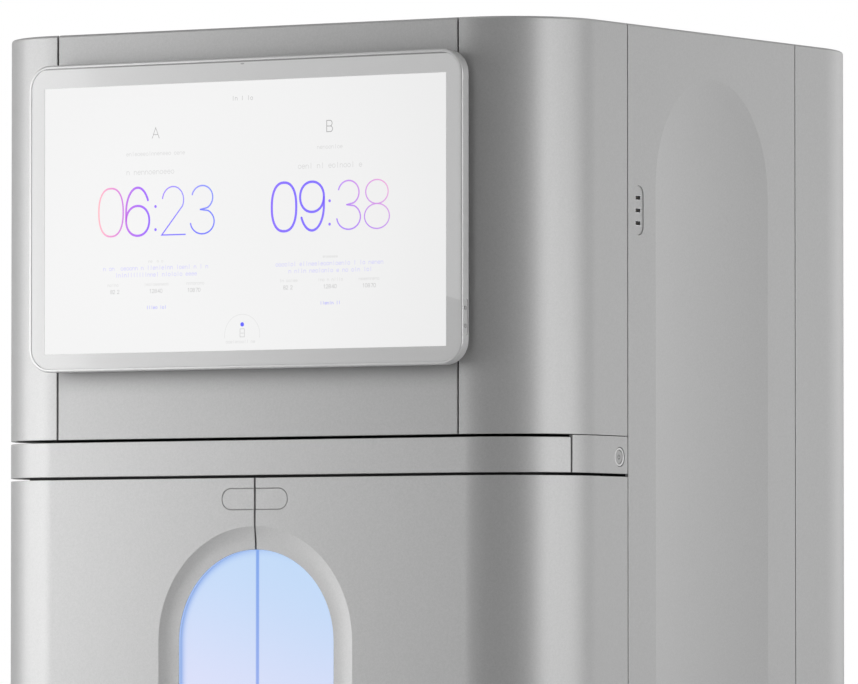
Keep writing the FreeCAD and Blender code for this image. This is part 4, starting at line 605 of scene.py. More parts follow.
@dataclass(frozen=True)
class GradientInk(Ink):
    """Ink whose colour runs across the screen, by stops at places in metres."""

    stops: tuple[tuple[float, Colour], ...] = ()
    foot: Colour = (0.1, 0.1, 0.9)
    levels: Point = (1.323, 1.387)

    def paint(self, graph: Graph) -> None:
        """Builds the finish's nodes.

        Args:
            graph: The material's tree.
        """
        x, _, z = graph.place()
        first, last = self.stops[0][0], self.stops[-1][0]
        share = (x - first) / (last - first)
        stops = [((place - first) / (last - first), colour) for place, colour in self.stops]
        ramp = graph.add("ShaderNodeValToRGB", {"stops": stops}, {0: share})
        depth = z.rise(self.levels[1], self.levels[0]) * 0.55
        self.shine(graph, graph.tint(depth * share.rise(0.35, 0.6), ramp, self.foot))


@dataclass(frozen=True)
class FlatInk(Ink):
    """Ink of one colour, with a faint unevenness like a screen's pixels."""

    def paint(self, graph: Graph) -> None:
        """Builds the finish's nodes.

        Args:
            graph: The material's tree.
        """
        pixels = graph.noise(3000.0, 0.0)
        self.shine(graph, graph.tint(pixels.rise(0.4, 0.6), toned(self.colour, 0.96), self.colour))


SILVER = SilverPaint("satin_silver", (0.46, 0.46, 0.46))
FINISHES: dict[str, Finish] = {
    "silver_paint": SILVER,
    "dark_frame": PowderCoat("black_powder_coat", (0.022, 0.022, 0.024), 0.55),
    "bright_steel": GroundSteel("ground_steel", (0.60, 0.61, 0.63)),
    "grey_metal": PowderCoat("grey_sheet_metal", (0.30, 0.30, 0.31), 0.45),
    "white_plastic": MouldedPlastic("white_moulding", (0.72, 0.72, 0.72), 0.45),
    "cast_aluminium": BlastedAluminium("blasted_aluminium", (0.56, 0.57, 0.58)),
    "black_plastic": MouldedPlastic("black_moulding", (0.025, 0.025, 0.027), 0.5),
    "port_steel": GroundSteel("port_shell_steel", (0.66, 0.66, 0.67), 0.26, stretch=(0.05, 1.0, 1.0)),
    "port_panel": SilverPaint("port_panel_silver", (0.47, 0.47, 0.47)),
    "button_grey": SilverPaint("button_silver", (0.40, 0.40, 0.40), 0.4),
    "screen_housing": SilverPaint("screen_silver", (0.60, 0.60, 0.60), 0.38, tones=(0.97, 1.03)),
    "screen_border": BorderGlass("border_glass", (0.50, 0.50, 0.50)),
    "screen_light": ScreenGlow("screen_glow", (0.84, 0.84, 0.84)),
    "window_light": WindowGlow("window_glow", (0.50, 0.655, 0.88)),
    "bottle_plastic": MouldedPlastic("milky_bottle", (0.62, 0.65, 0.65), 0.35),
}


SEAL = MouldedPlastic("seal_rubber", (0.03, 0.03, 0.032), 0.6)
# Painted shade for the gap round the door pads.
PAD_GAP_SHADE = MouldedPlastic("pale_seal_rubber", (0.28, 0.28, 0.28), 0.6)
# A lighter copy of the silver paint for the power button's ring: a painted highlight that stands in for the
# light on the ring.
KEY_RING_HIGHLIGHT = SilverPaint("key_ring_silver", (0.66, 0.66, 0.66), 0.34)
# A darker copy of the satin silver for the visor, with a painted shadow under the screen.
PAINTED_SHADOW_SILVER = VisorShadowPaint("satin_silver_visor", (0.425, 0.425, 0.425))
EVEN = (1.0, 1.0, 1.0)
SATIN_STEEL = GroundSteel("screw_steel", (0.52, 0.52, 0.53), 0.34, stretch=EVEN)
BRASS = GroundSteel("contact_brass", (0.62, 0.48, 0.24), 0.3, stretch=EVEN)
# Painted light: the window walls glow to stand in for the window's light falling on them.
WALL_PAINTED_LIGHT = FlatInk("window_wall_glow", srgb(160, 186, 235))


class Bench:
    """Keeps the loaded frame and makes, shapes and hands over pieces."""

    def __init__(self, frame: dict[str, Any]) -> None:
        """Keeps the frame and reads which slot each node has.

        Args:
            frame: The loaded frame.
        """
        self.frame = frame
        self.slots = {part["node"]: part["material_slot"] for part in frame["record"]["subparts"]}
        bodies = frame["record"]["behaviour"]["bodies"]
        self.owner = {node: body for body, nodes in bodies.items() for node in nodes}

    def dress_nodes(self) -> None:
        """Gives every node of the frame the finish of its slot."""
        for name, thing in self.frame["nodes"].items():
            material = FINISHES[self.slots[name]].material()
            for slot in thing.material_slots:
                slot.material = material

    @staticmethod
    def new(name: str, mesh: bpy.types.Mesh) -> bpy.types.Object:
        """An object for a mesh, linked to the scene."""
        thing = bpy.data.objects.new(name, mesh)
        bpy.context.scene.collection.objects.link(thing)
        return thing

    def from_bmesh(self, name: str, made: bmesh.types.BMesh, finish: Finish) -> bpy.types.Object:
        """An object from a bmesh, with one finish.

        Args:
            name: The piece's name.
            made: The mesh, which is freed.
            finish: Its finish.

        Returns:
            The object.
        """
        mesh = bpy.data.meshes.new(name)
        made.to_mesh(mesh)
        made.free()
        mesh.materials.append(finish.material())
        return self.new(name, mesh)

    @staticmethod
    def settle(piece: bpy.types.Object) -> None:
        """Turns a piece with modifiers into a plain mesh.

        Args:
            piece: The piece.
        """
        graph = bpy.context.evaluated_depsgraph_get()
        plain = bpy.data.meshes.new_from_object(piece.evaluated_get(graph))
        plain.name = piece.name
        piece.modifiers.clear()
        piece.data = plain

    @staticmethod
    def hand_over(piece: bpy.types.Object, body: Body, slot: str, *nodes: str) -> None:
        """Lets a piece ride on its body and hides the nodes that it stands for, if it has any.

        Args:
            piece: The piece.
            body: Its body.
            slot: Its slot; not used.
            nodes: The nodes that it stands for.
        """
        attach(piece, body.value)
        if nodes:
            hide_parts(*nodes)
        LOG.info("%s rides on %s", piece.name, body.value)

    def piece(self, name: str, made: bmesh.types.BMesh, finish: Finish, body: Body, slot: str) -> None:
        """Makes a piece of a mesh and hands it over.

        Args:
            name: The piece's name.
            made: The mesh, which is freed.
            finish: Its finish.
            body: The body that it rides on.
            slot: Its slot.
        """
        self.hand_over(self.from_bmesh(name, made, finish), body, slot)

    @staticmethod
    def mark_edges(made: bmesh.types.BMesh, angle: float, crease: float) -> None:
        """Keeps an edge sharp above an angle, and above a smaller one where a face flat to an axis ends.

        Args:
            made: The mesh.
            angle: The angle in degrees.
            crease: The smaller angle.
        """
        for edge in made.edges:
            if len(edge.link_faces) != 2:
                continue
            turn = math.degrees(edge.calc_face_angle())
            flat = any(max(abs(part) for part in face.normal) > 0.99999 for face in edge.link_faces)
            edge.smooth = turn < (crease if flat else angle)

    def eased_copy(self, node: str, edge: float, angle: float = 32.0, crease: float = 32.0,
                   finish: Optional[Finish] = None, cutter: Optional[bpy.types.Object] = None) -> None:
        """Stands a merged copy with softened edges and smooth curves in for a node.

        Args:
            node: The node's name.
            edge: Width of the softened edges, in metres.
            angle: Edges that turn by more degrees than this are softened.
            crease: Edges of flat faces that turn by more than this stay sharp.
            finish: A finish other than its slot's.
            cutter: A shape to cut out of it first.
        """
        source = self.frame["nodes"][node]
        made = bmesh.new()
        made.from_mesh(source.data)
        bmesh.ops.remove_doubles(made, verts=made.verts, dist=3e-6)
        bmesh.ops.dissolve_degenerate(made, edges=made.edges, dist=2e-6)
        bmesh.ops.dissolve_limit(made, angle_limit=math.radians(0.05), verts=made.verts, edges=made.edges)
        for face in made.faces:
            face.smooth = True
        self.mark_edges(made, angle, crease)
        mesh = bpy.data.meshes.new(f"{node}_eased")
        made.to_mesh(mesh)
        made.free()
        mesh.materials.append((finish or FINISHES[self.slots[node]]).material())
        piece = self.new(f"{node}_eased", mesh)
        if cutter is not None:
            carve = piece.modifiers.new("pockets", "BOOLEAN")
            carve.operation = "DIFFERENCE"
            carve.solver = "EXACT"
            carve.object = cutter
        bevel = piece.modifiers.new("ease", "BEVEL")
        bevel.width = edge
        bevel.segments = 2
        bevel.limit_method = "ANGLE"
        bevel.angle_limit = math.radians(angle)
        bevel.use_clamp_overlap = True
        bevel.miter_outer = "MITER_ARC"
        weights = piece.modifiers.new("weights", "WEIGHTED_NORMAL")
        weights.keep_sharp = True
        weights.weight = 70
        self.settle(piece)
        self.hand_over(piece, Body(self.owner[node]), self.slots[node], node)


@dataclass
class Covers:
    """The painted covers, doors and drawer front, with the small eased edges that catch the light."""

    bench: Bench
    edge: float = 0.6 * MM
    fine_edge: float = 0.25 * MM
    crease: float = 5.0
    panels: tuple[str, ...] = ("right_corner_cover", "left_corner_cover", "rear_right_cover",
                               "rear_left_cover", "top_cover", "button_block", "drawer_front")
    recessed: tuple[str, ...] = ("left_side_panel", "right_side_panel", "right_door", "left_door")
    small: tuple[str, ...] = ("usb_plate", "power_button", "monitor_housing", "monitor_bezel",
                              "monitor_upper_button", "monitor_lower_button", "right_window", "left_window",
                              "mains_inlet", "levelling_feet")

    def build(self) -> None:
        """Stands an eased copy in for each cover."""
        for node in self.panels:
            self.bench.eased_copy(node, self.edge)
        for node in self.recessed:
            self.bench.eased_copy(node, self.edge, crease=self.crease)
        # The visor gets the darker silver with its painted shadow under the screen.
        self.bench.eased_copy("visor", self.edge, finish=PAINTED_SHADOW_SILVER)
        # The power button's ring gets the lighter silver, a painted highlight.
        self.bench.eased_copy("power_button_ring", self.fine_edge, finish=KEY_RING_HIGHLIGHT)
        for node in self.small:
            self.bench.eased_copy(node, self.fine_edge)


def arc(centre: Point, radii: Point, start: float, end: float, steps: int = 24) -> list[Point]:
    """Points along an elliptical arc.

    Args:
        centre: Its centre.
        radii: Its radii across and up.
        start: First angle in degrees, from the right and turning left.
        end: Last angle.
        steps: How many spans.

    Returns:
        The points, in order.
    """
    angles = [math.radians(start + (end - start) * i / steps) for i in range(steps + 1)]
    return [(centre[0] + radii[0] * math.cos(a), centre[1] + radii[1] * math.sin(a)) for a in angles]


def oval(centre: Point, radii: Point, power: float = 2.35, steps: int = 56) -> list[Point]:
    """A closed oval, a little squarer than an ellipse.

    Args:
        centre: Its centre.
        radii: Its radii across and up.
        power: How square it is; 2 is an ellipse.
        steps: How many spans.

    Returns:
        The points, the last on the first.
    """
    points = []
    for i in range(steps + 1):
        a = 2 * math.pi * i / steps
        c, s = math.cos(a), math.sin(a)
        points.append((centre[0] + radii[0] * math.copysign(abs(c) ** (2 / power), c),
                       centre[1] + radii[1] * math.copysign(abs(s) ** (2 / power), s)))
    return points


def figures() -> dict[str, list[list[Point]]]:
    """The strokes of each figure and letter, in a box from 0 to 1 each way.

    Returns:
        Each sign's strokes, by its name.
    """
    six = [oval((0.5, 0.31), (0.5, 0.31), 2.1),
           arc((0.5, 0.5), (0.5, 0.5), 28, 180, 30) + [(0.0, 0.4), (0.0, 0.32)]]
    nine = [[(1 - x, 1 - y) for x, y in stroke] for stroke in six]
    return {
        "0": [oval((0.5, 0.5), (0.5, 0.5))],
        "1": [[(0.15, 0.8), (0.55, 1.0), (0.55, 0.0)]],
        "2": [arc((0.48, 0.72), (0.45, 0.28), 172, -28, 26) + [(0.0, 0.0), (1.0, 0.0)]],
        "3": [arc((0.5, 0.755), (0.44, 0.245), 165, -62, 26) + [(0.42, 0.505)],
              [(0.42, 0.505)] + arc((0.5, 0.255), (0.5, 0.255), 62, -172, 30)],
        "4": [[(0.75, 0.0), (0.75, 1.0), (0.0, 0.28), (1.0, 0.28)]],
        "6": six,
        "7": [[(0.0, 1.0), (1.0, 1.0), (0.35, 0.0)]],
        "8": [oval((0.5, 0.755), (0.45, 0.245), 2.0), oval((0.5, 0.255), (0.5, 0.255), 2.0)],
        "9": nine,
        "A": [[(0.0, 0.0), (0.5, 1.0), (1.0, 0.0)], [(0.18, 0.34), (0.82, 0.34)]],
        "B": [[(0.55, 0.5), (0.05, 0.5), (0.05, 0.0), (0.55, 0.0)]
              + arc((0.6, 0.25), (0.36, 0.25), -90, 90, 14),
              [(0.05, 0.5), (0.05, 1.0), (0.5, 1.0)] + arc((0.55, 0.75), (0.34, 0.25), 90, -90, 14)],
        "o": [oval((0.5, 0.35), (0.46, 0.35), 2.0, 12)],
        "l": [[(0.5, 0.0), (0.5, 1.0)]],
        "n": [[(0.08, 0.0), (0.08, 0.66)], arc((0.5, 0.36), (0.42, 0.32), 180, 0, 6) + [(0.92, 0.0)]],
        "e": [arc((0.5, 0.35), (0.44, 0.35), 0, 320, 10), [(0.06, 0.36), (0.94, 0.36)]],
    }


FIGURES = figures()


@dataclass
class Pen:
    """Draws strokes as flat ribbons that face the front of the screen."""

    front: float

    def ribbon(self, made: bmesh.types.BMesh, line: Sequence[Point], width: float) -> None:
        """Adds one stroke with round ends to a mesh.

        Args:
            made: The mesh to add to.
            line: The stroke's middle line, in metres across and up.
            width: The stroke's width.
        """
        points = [Vector(p) for i, p in enumerate(line)
                  if i == 0 or (Vector(p) - Vector(line[i - 1])).length > 1e-7]
        closed = (points[0] - points[-1]).length < 1e-6 and len(points) > 3
        if closed:
            points.pop()
        count = len(points)
        pairs = []
        for i, point in enumerate(points):
            before = points[i - 1] if closed or i else None
            after = points[(i + 1) % count] if closed or i < count - 1 else None
            into = (point - before).normalized() if before is not None else (after - point).normalized()
            out = (after - point).normalized() if after is not None else into
            along = (into + out).normalized()
            side = Vector((-along.y, along.x))
            reach = width / 2 / max(0.35, side.dot(Vector((-into.y, into.x))))
            pairs.append((point + side * reach, point - side * reach))
        corners = [[made.verts.new((p.x, self.front, p.y)) for p in pair] for pair in pairs]
        spans = range(count) if closed else range(count - 1)
        for i in spans:
            first, second = corners[i], corners[(i + 1) % count]
            made.faces.new((first[0], first[1], second[1], second[0]))
        if not closed:
            self.cap(made, points[0], points[0] - points[1], width)
            self.cap(made, points[-1], points[-1] - points[-2], width)

    def cap(self, made: bmesh.types.BMesh, end: Vector, way: Vector, width: float) -> None:
        """Adds the round end of a stroke."""
        turn = math.degrees(math.atan2(way.y, way.x))
        rim = arc((end.x, end.y), (width / 2, width / 2), turn - 90, turn + 90, 6)
        made.faces.new([made.verts.new((x, self.front, z)) for x, z in rim])

    def disc(self, made: bmesh.types.BMesh, centre: Point, radius: float) -> None:
        """Adds a filled dot."""
        rim = arc(centre, (radius, radius), 0, 345, 23)
        made.faces.new([made.verts.new((x, self.front, z)) for x, z in rim])

    def sign(self, made: bmesh.types.BMesh, name: str, low: Point, size: Point, width: float) -> None:
        """Adds one figure or letter in a box."""
        for stroke in FIGURES[name]:
            self.ribbon(made, [(low[0] + x * size[0], low[1] + y * size[1]) for x, y in stroke], width)


def loop(points: Sequence[Point], level: float, made: bmesh.types.BMesh,
         axis: str = "y") -> list[bmesh.types.BMVert]:
    """A closed row of points at one level along an axis.

    Args:
        points: The points in the plane across the axis: x and z for "y", y and z for "x", x and y for "z".
        level: Where the plane lies.
        made: The mesh to add to.
        axis: The axis.

    Returns:
        The points' vertices.
    """
    slot = "xyz".index(axis)
    places = [[a, b] for a, b in points]
    for place in places:
        place.insert(slot, level)
    return [made.verts.new(place) for place in places]


def bridge(made: bmesh.types.BMesh, first: Sequence[bmesh.types.BMVert],
           second: Sequence[bmesh.types.BMVert], closed: bool = True) -> None:
    """Joins two rows of vertices with faces.

    Args:
        made: The mesh to add to.
        first: One row.
        second: The other, as long.
        closed: Whether the rows' ends are joined too.
    """
    count = len(first)
    for i in range(count if closed else count - 1):
        j = (i + 1) % count
        made.faces.new((first[i], first[j], second[j], second[i]))


def half_pill(half: float, radius: float, level: float, gap: float, side: int) -> list[Point]:
    """The outline of the right or left part of a lying pill that ends at a gap in its middle."""
    points = arc((half, level), (radius, radius), -90, 90, 20)
    points += [(gap, level + radius), (gap, level - radius)]
    return [(side * x * MM, z * MM) for x, z in points]


@dataclass
class LatchPads:
    """The inset of the finger pad on each door: a plate with eased edges in a dark strip, painted shade of
    the gap round the plate.
    """

    bench: Bench
    face: float = -436.0
    level: float = 987.2
    half: float = 36.0
    radius: float = 14.0
    door_gap: float = 1.35
    # seal: width of the gap, filled by a dark strip of painted shade.
    seal: float = 1.1
    rise: float = 0.42
    ease: float = 0.3
    hair: float = 0.02

    def build(self) -> None:
        """Builds both pads and the dark strips of painted shade round them."""
        for side, body in ((1, Body.RIGHT_DOOR), (-1, Body.LEFT_DOOR)):
            plate = bmesh.new()
            rows = []
            for inset, lift in ((0.0, self.hair), (0.0, self.rise - self.ease), (self.ease, self.rise)):
                points = half_pill(self.half, self.radius - self.seal - inset, self.level,
                                   self.door_gap + inset, side)
                rows.append(loop(points, (self.face - lift) * MM, plate))
            bridge(plate, rows[0], rows[1])
            bridge(plate, rows[1], rows[2])
            plate.faces.new(rows[2])
            bmesh.ops.recalc_face_normals(plate, faces=plate.faces)
            self.bench.piece(f"{body.value}_pad", plate, SILVER, body, "silver_paint")
            # Painted shade: a dark strip on the floor of the gap, darker than the gap would be by itself.
            seal = bmesh.new()
            outer, inner = (half_pill(self.half, self.radius - inset, self.level, self.door_gap, side)
                            for inset in (self.hair, self.seal))
            level = (self.face - 0.05) * MM
            bridge(seal, loop(outer, level, seal), loop(inner, level, seal))
            bmesh.ops.recalc_face_normals(seal, faces=seal.faces)
            self.bench.piece(f"{body.value}_pad_seal", seal, PAD_GAP_SHADE, body, "black_plastic")


@dataclass
class GlowingWindowWalls:
    """The inner walls of the doors' window openings: a thin lining between pane and recess that glows blue,
    painted light standing in for the window's light falling on the walls.
    """

    bench: Bench
    radius: float = 116.5
    levels: Point = (380.0, 806.5)
    depths: Point = (-429.55, -433.5)
    door_gap: float = 1.3

    def build(self) -> None:
        """Builds one lining for each door."""
        low, high = self.levels
        start = math.degrees(math.asin(self.door_gap / self.radius))
        for side, body in ((1, Body.RIGHT_DOOR), (-1, Body.LEFT_DOOR)):
            upper = arc((0.0, high), (self.radius, self.radius), 90 - start, 0, 40)
            lower = arc((0.0, low), (self.radius, self.radius), 0, start - 90, 40)
            points = [(side * x * MM, z * MM) for x, z in upper + lower]
            made = bmesh.new()
            rear, front = (loop(points, depth * MM, made) for depth in self.depths)
            bridge(made, rear, front, closed=False)
            self.bench.piece(f"{body.value}_window_wall", made, WALL_PAINTED_LIGHT, body, "window_light")


@dataclass
class PowerKey:
    """The dark joint round the power button's ring and the mark on the button."""

    bench: Bench
    centre: Point = (-257.0 * MM, 1038.7 * MM)
    joint: tuple[Point, ...] = ((12.35 * MM, 0.02 * MM), (11.6 * MM, 0.05 * MM))
    mark_radius: float = 2.6 * MM
    mark_rise: Point = (0.6 * MM, 3.6 * MM)
    line: float = 0.8 * MM
    lift: float = 0.04 * MM

    def build(self) -> None:
        """Builds the joint and the mark."""
        ring_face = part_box("power_button_ring")[1].x
        joint = bmesh.new()
        rows = [loop(arc(self.centre, (radius, radius), 0, 360 - 7.5, 47), ring_face + lift, joint, "x")
                for radius, lift in self.joint]
        bridge(joint, rows[0], rows[1])
        bmesh.ops.recalc_face_normals(joint, faces=joint.faces)
        self.bench.piece("power_button_joint", joint, SEAL, Body.CABINET, "black_plastic")
        mark = bmesh.new()
        pen = Pen(0.0)
        pen.ribbon(mark, arc((0.0, 0.0), (self.mark_radius, self.mark_radius), 125, 415, 28), self.line)
        pen.ribbon(mark, [(0.0, level) for level in self.mark_rise], self.line)
        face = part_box("power_button")[1].x + self.lift
        for vert in mark.verts:
            across, _, up = vert.co
            vert.co = (face, self.centre[0] + across, self.centre[1] + up)
        bmesh.ops.recalc_face_normals(mark, faces=mark.faces)
        self.bench.piece("power_button_mark", mark, SEAL, Body.POWER, "button_grey")


@dataclass
class DrawerGapShade:
    """The gap at the right end of the drawer front, darkened by a black strip as painted shade."""

    bench: Bench
    trim: Point = (0.675 * MM, 1.5 * MM)
    zone: Point = (3.0 * MM, 2.5 * MM)
    clear: float = 0.2 * MM
    reach: float = 12.0 * MM
    inset: float = 1.4 * MM
    width: float = 0.3 * MM

    def build(self) -> None:
        """Draws the end of the front back a little and stands a dark strip in the gap as painted shade."""
        low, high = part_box("drawer_front")
        block_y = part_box("button_block")[0].y
        for vert in bpy.data.objects["drawer_front_eased"].data.vertices:
            inward = block_y - vert.co.y
            if vert.co.x > high.x - self.zone[0] and self.clear < inward < self.zone[1]:
                vert.co.x -= self.trim[0]
                vert.co.y -= self.trim[1]
        strip = bmesh.new()
        bmesh.ops.create_cube(strip, size=1.0)
        middle = (high.x - self.reach / 2 - self.inset, block_y - self.width, (low.z + high.z) / 2)
        bmesh.ops.scale(strip, vec=(self.reach, self.width, high.z - low.z), verts=strip.verts)
        bmesh.ops.translate(strip, vec=middle, verts=strip.verts)
        self.bench.piece("drawer_joint", strip, SEAL, Body.CABINET, "black_plastic")


def turned(name: str, rows: Sequence[Ring], bench: Bench, axis: str = "y") -> bpy.types.Object:
    """A small turned shape about an axis through its origin.

    Args:
        name: Its name.
        rows: Each ring's radius, its level along the axis and whether it is a hexagon.
        bench: The bench that makes objects.
        axis: The axis.

    Returns:
        The shape, closed at its last ring.
    """
    sides = 24
    made = bmesh.new()
    rings = []
    for radius, level, hexagon in rows:
        points = []
        for i in range(sides):
            turn = 2 * math.pi * i / sides
            reach = radius / math.cos(turn % (math.pi / 3) - math.pi / 6) if hexagon else radius
            points.append((reach * math.cos(turn) * MM, reach * math.sin(turn) * MM))
        rings.append(loop(points, level * MM, made, axis))
    for first, second in zip(rings, rings[1:]):
        bridge(made, first, second)
    if rows[-1][0] < rows[0][0]:
        made.faces.new(rings[-1])
    bmesh.ops.recalc_face_normals(made, faces=made.faces)
    mesh = bpy.data.meshes.new(name)
    made.to_mesh(mesh)
    made.free()
    return bench.new(name, mesh)


@dataclass
class RearScrews:
    """Countersunk socket screws in the rear panel: down both edges and round each fan."""

    bench: Bench
    head: tuple[Ring, ...] = ((3.5, -1.2, False), (3.5, -0.35, False), (3.25, -0.15, False),
                              (1.5, -0.15, True), (1.5, -1.1, True))
    pocket: tuple[Ring, ...] = ((0.01, 0.6, False), (3.8, 0.6, False), (3.8, -1.25, False),
                                (0.005, -1.25, False))
    grids: tuple[tuple[tuple[int, int], Point, Point], ...] = (
        ((2, 7), (436.0, 240.0), (-218.0, 115.0)),
        ((2, 2), (105.0, 105.0), (42.5, 1387.5)),
        ((2, 2), (105.0, 105.0), (-147.5, 1387.5)))

    def build(self) -> None:
        """Sinks the pockets in the panel and sets the screws."""
        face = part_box("rear_panel")[1].y
        screw = turned("screw", self.head, self.bench)
        plug = turned("screw_pocket", self.pocket, self.bench)
        screws, pockets = [], []
        for count, (across, up), (x, z) in self.grids:
            place = Matrix.Translation((x * MM, face, z * MM))
            for shape, made, finish in ((screw, screws, SATIN_STEEL), (plug, pockets, SILVER)):
                row = Repeat("rear_screws", count, (across * MM, up * MM), (shape,))
                made.append(row.make(self.bench, finish, place))
        cutter = join(pockets, "screw_pockets")
        self.bench.eased_copy("rear_panel", 0.3 * MM, cutter=cutter)
        bpy.data.objects.remove(cutter)
        for shape in (screw, plug):
            bpy.data.objects.remove(shape)
        self.bench.hand_over(join(screws, "rear_panel_screws"), Body.CABINET, "bright_steel")


@dataclass
class CapScrews:
    """A grid of small cap screws on one upright face of a body."""

    bench: Bench
    name: str
    body: Body
    count: tuple[int, int]
    pitch: Point
    corner: Place
    faces_rear: bool = True
    head: tuple[Ring, ...] = ((2.75, 0.0, False), (2.75, 1.6, False), (2.5, 1.9, False), (1.3, 1.9, True),
                              (1.3, 0.8, True))

    def build(self) -> None:
        """Sets the screws."""
        shape = turned("cap_screw", self.head, self.bench)
        place = Matrix.Translation([part * MM for part in self.corner])
        across = self.pitch[0] * MM
        if not self.faces_rear:
            place = place @ Matrix.Rotation(math.pi, 4, "Z")
            across = -across
        row = Repeat("cap_screws", self.count, (across, self.pitch[1] * MM), (shape,))
        made = row.make(self.bench, SATIN_STEEL, place)
        made.name = self.name
        bpy.data.objects.remove(shape)
        self.bench.hand_over(made, self.body, "bright_steel")


def cap_screws(bench: Bench) -> list[CapScrews]:
    """The cap screws of the door liners, the two drawer fronts and the optics head.

    Args:
        bench: The bench that makes objects.

    Returns:
        One grid of screws for each of them.
    """
    liner, drawer = (248.0, 217.5), (308.0, 414.0)
    rows = (("left_liner_screws", Body.LEFT_DOOR, (2, 5), liner, (-276.0, -413.5, 115.0), True),
            ("right_liner_screws", Body.RIGHT_DOOR, (2, 5), liner, (28.0, -413.5, 115.0), True),
            ("buffer_drawer_screws", Body.BUFFER, (2, 2), drawer, (-330.0, -260.0, 108.0), False),
            ("waste_drawer_screws", Body.WASTE, (2, 2), drawer, (22.0, -260.0, 108.0), False),
            ("optics_screws", Body.CABINET, (2, 2), (210.0, 160.0), (-105.0, -244.0, 1145.0), False))
    return [CapScrews(bench, *row) for row in rows]


@dataclass
class FootThreads:
    """The threads on the stems of the four feet."""

    bench: Bench
    radius: float = 8.0
    pitch: float = 2.0
    turns: int = 18
    base: float = 15.0
    depth: float = 0.55
    places: tuple[Point, ...] = ((-330.0, -340.0), (330.0, -340.0), (-330.0, 370.0), (330.0, 370.0))

    def build(self) -> None:
        """Stacks thread ridges up each stem."""
        crest = self.radius + self.depth
        rows = ((self.radius - 0.1, 0.1, False), (crest, 0.9, False), (crest, 1.1, False),
                (self.radius - 0.09, 1.9, False))
        ridge = turned("thread_ridge", rows, self.bench, axis="z")
        stems = []
        for x, y in self.places:
            stack = Repeat("foot_thread", (1, self.turns), (0.0, self.pitch * MM), (ridge,))
            foot = Matrix.Translation((x * MM, y * MM, self.base * MM))
            stems.append(stack.make(self.bench, SATIN_STEEL, foot))
        bpy.data.objects.remove(ridge)
        self.bench.hand_over(join(stems, "foot_threads"), Body.CABINET, "bright_steel")


def slab(made: bmesh.types.BMesh, low: Place, high: Place) -> None:
    """Adds a box between two corners given in millimetres.

    Args:
        made: The mesh to add to.
        low: The lowest corner.
        high: The highest.
    """
    corners = bmesh.ops.create_cube(made, size=1.0)["verts"]
    middle = Vector((a + b for a, b in zip(low, high))) * (MM / 2)
    bmesh.ops.scale(made, vec=[(b - a) * MM for a, b in zip(low, high)], verts=corners)
    bmesh.ops.translate(made, vec=middle, verts=corners)


@dataclass
class Contacts:
    """What is inside the sockets: tongues with brass contacts in three ports, pins in the mains inlet."""

    bench: Bench
    port_middle: float = -208.7
    port_levels: tuple[float, ...] = (1335.9, 1352.0, 1368.1)
    tongue: Place = (418.5, 429.6, 5.2)
    contact: Place = (420.0, 429.0, 0.5)
    contact_pitch: float = 2.6
    inlet: Point = (120.0, 190.0)
    pins: tuple[Point, ...] = ((-7.0, -2.0), (0.0, 2.5), (7.0, -2.0))
    pin_reach: Point = (448.5, 462.5)
    pin_half: Point = (1.1, 2.5)

    def build(self) -> None:
        """Builds tongues, contacts and pins."""
        tongues, contacts, pins = bmesh.new(), bmesh.new(), bmesh.new()
        middle = self.port_middle
        for level in self.port_levels:
            inner, outer, half = self.tongue
            slab(tongues, (inner, middle - half, level + 0.2), (outer, middle + half, level + 1.5))
            inner, outer, half = self.contact
            for i in range(4):
                y = middle + self.contact_pitch * (i - 1.5)
                slab(contacts, (inner, y - half, level + 0.05), (outer, y + half, level + 0.2))
        (front, rear), (wide, high) = self.pin_reach, self.pin_half
        for across, up in self.pins:
            x, z = self.inlet[0] + across, self.inlet[1] + up
            slab(pins, (x - wide, front, z - high), (x + wide, rear, z + high))
        self.bench.piece("port_tongues", tongues, SEAL, Body.CABINET, "black_plastic")
        self.bench.piece("port_contacts", contacts, BRASS, Body.CABINET, "port_steel")
        self.bench.piece("inlet_pins", pins, BRASS, Body.CABINET, "port_steel")


@dataclass
class DoorSeals:
    """A soft seal round the back of each door's liner."""

    bench: Bench
    inset: float = 9.0
    radius: float = 3.0
    squash: float = 0.9

    def build(self) -> None:
        """Runs a half-round strip round each liner."""
        for body, node in ((Body.LEFT_DOOR, "left_door_liner"), (Body.RIGHT_DOOR, "right_door_liner")):
            low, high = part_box(node)
            edge = (self.inset + self.radius) * MM
            made = bmesh.new()
            rows = []
            for out, back in arc((0.0, 0.0), (self.radius * MM, self.radius * MM), 0, 180, 8):
                x0, x1 = low.x + edge - out, high.x - edge + out
                z0, z1 = low.z + edge - out, high.z - edge + out
                rows.append(loop([(x0, z0), (x1, z0), (x1, z1), (x0, z1)], high.y + back * self.squash, made))
            for first, second in zip(rows, rows[1:]):
                bridge(made, first, second)
            bmesh.ops.recalc_face_normals(made, faces=made.faces)
            for face in made.faces:
                face.smooth = True
            self.bench.piece(f"{body.value}_seal", made, SEAL, body, "black_plastic")


@dataclass
class WordLine:
    """A faint line of text-like marks that says nothing."""

    middle: float
    level: float
    length: float
    height: float
    ink: str
    seed: int


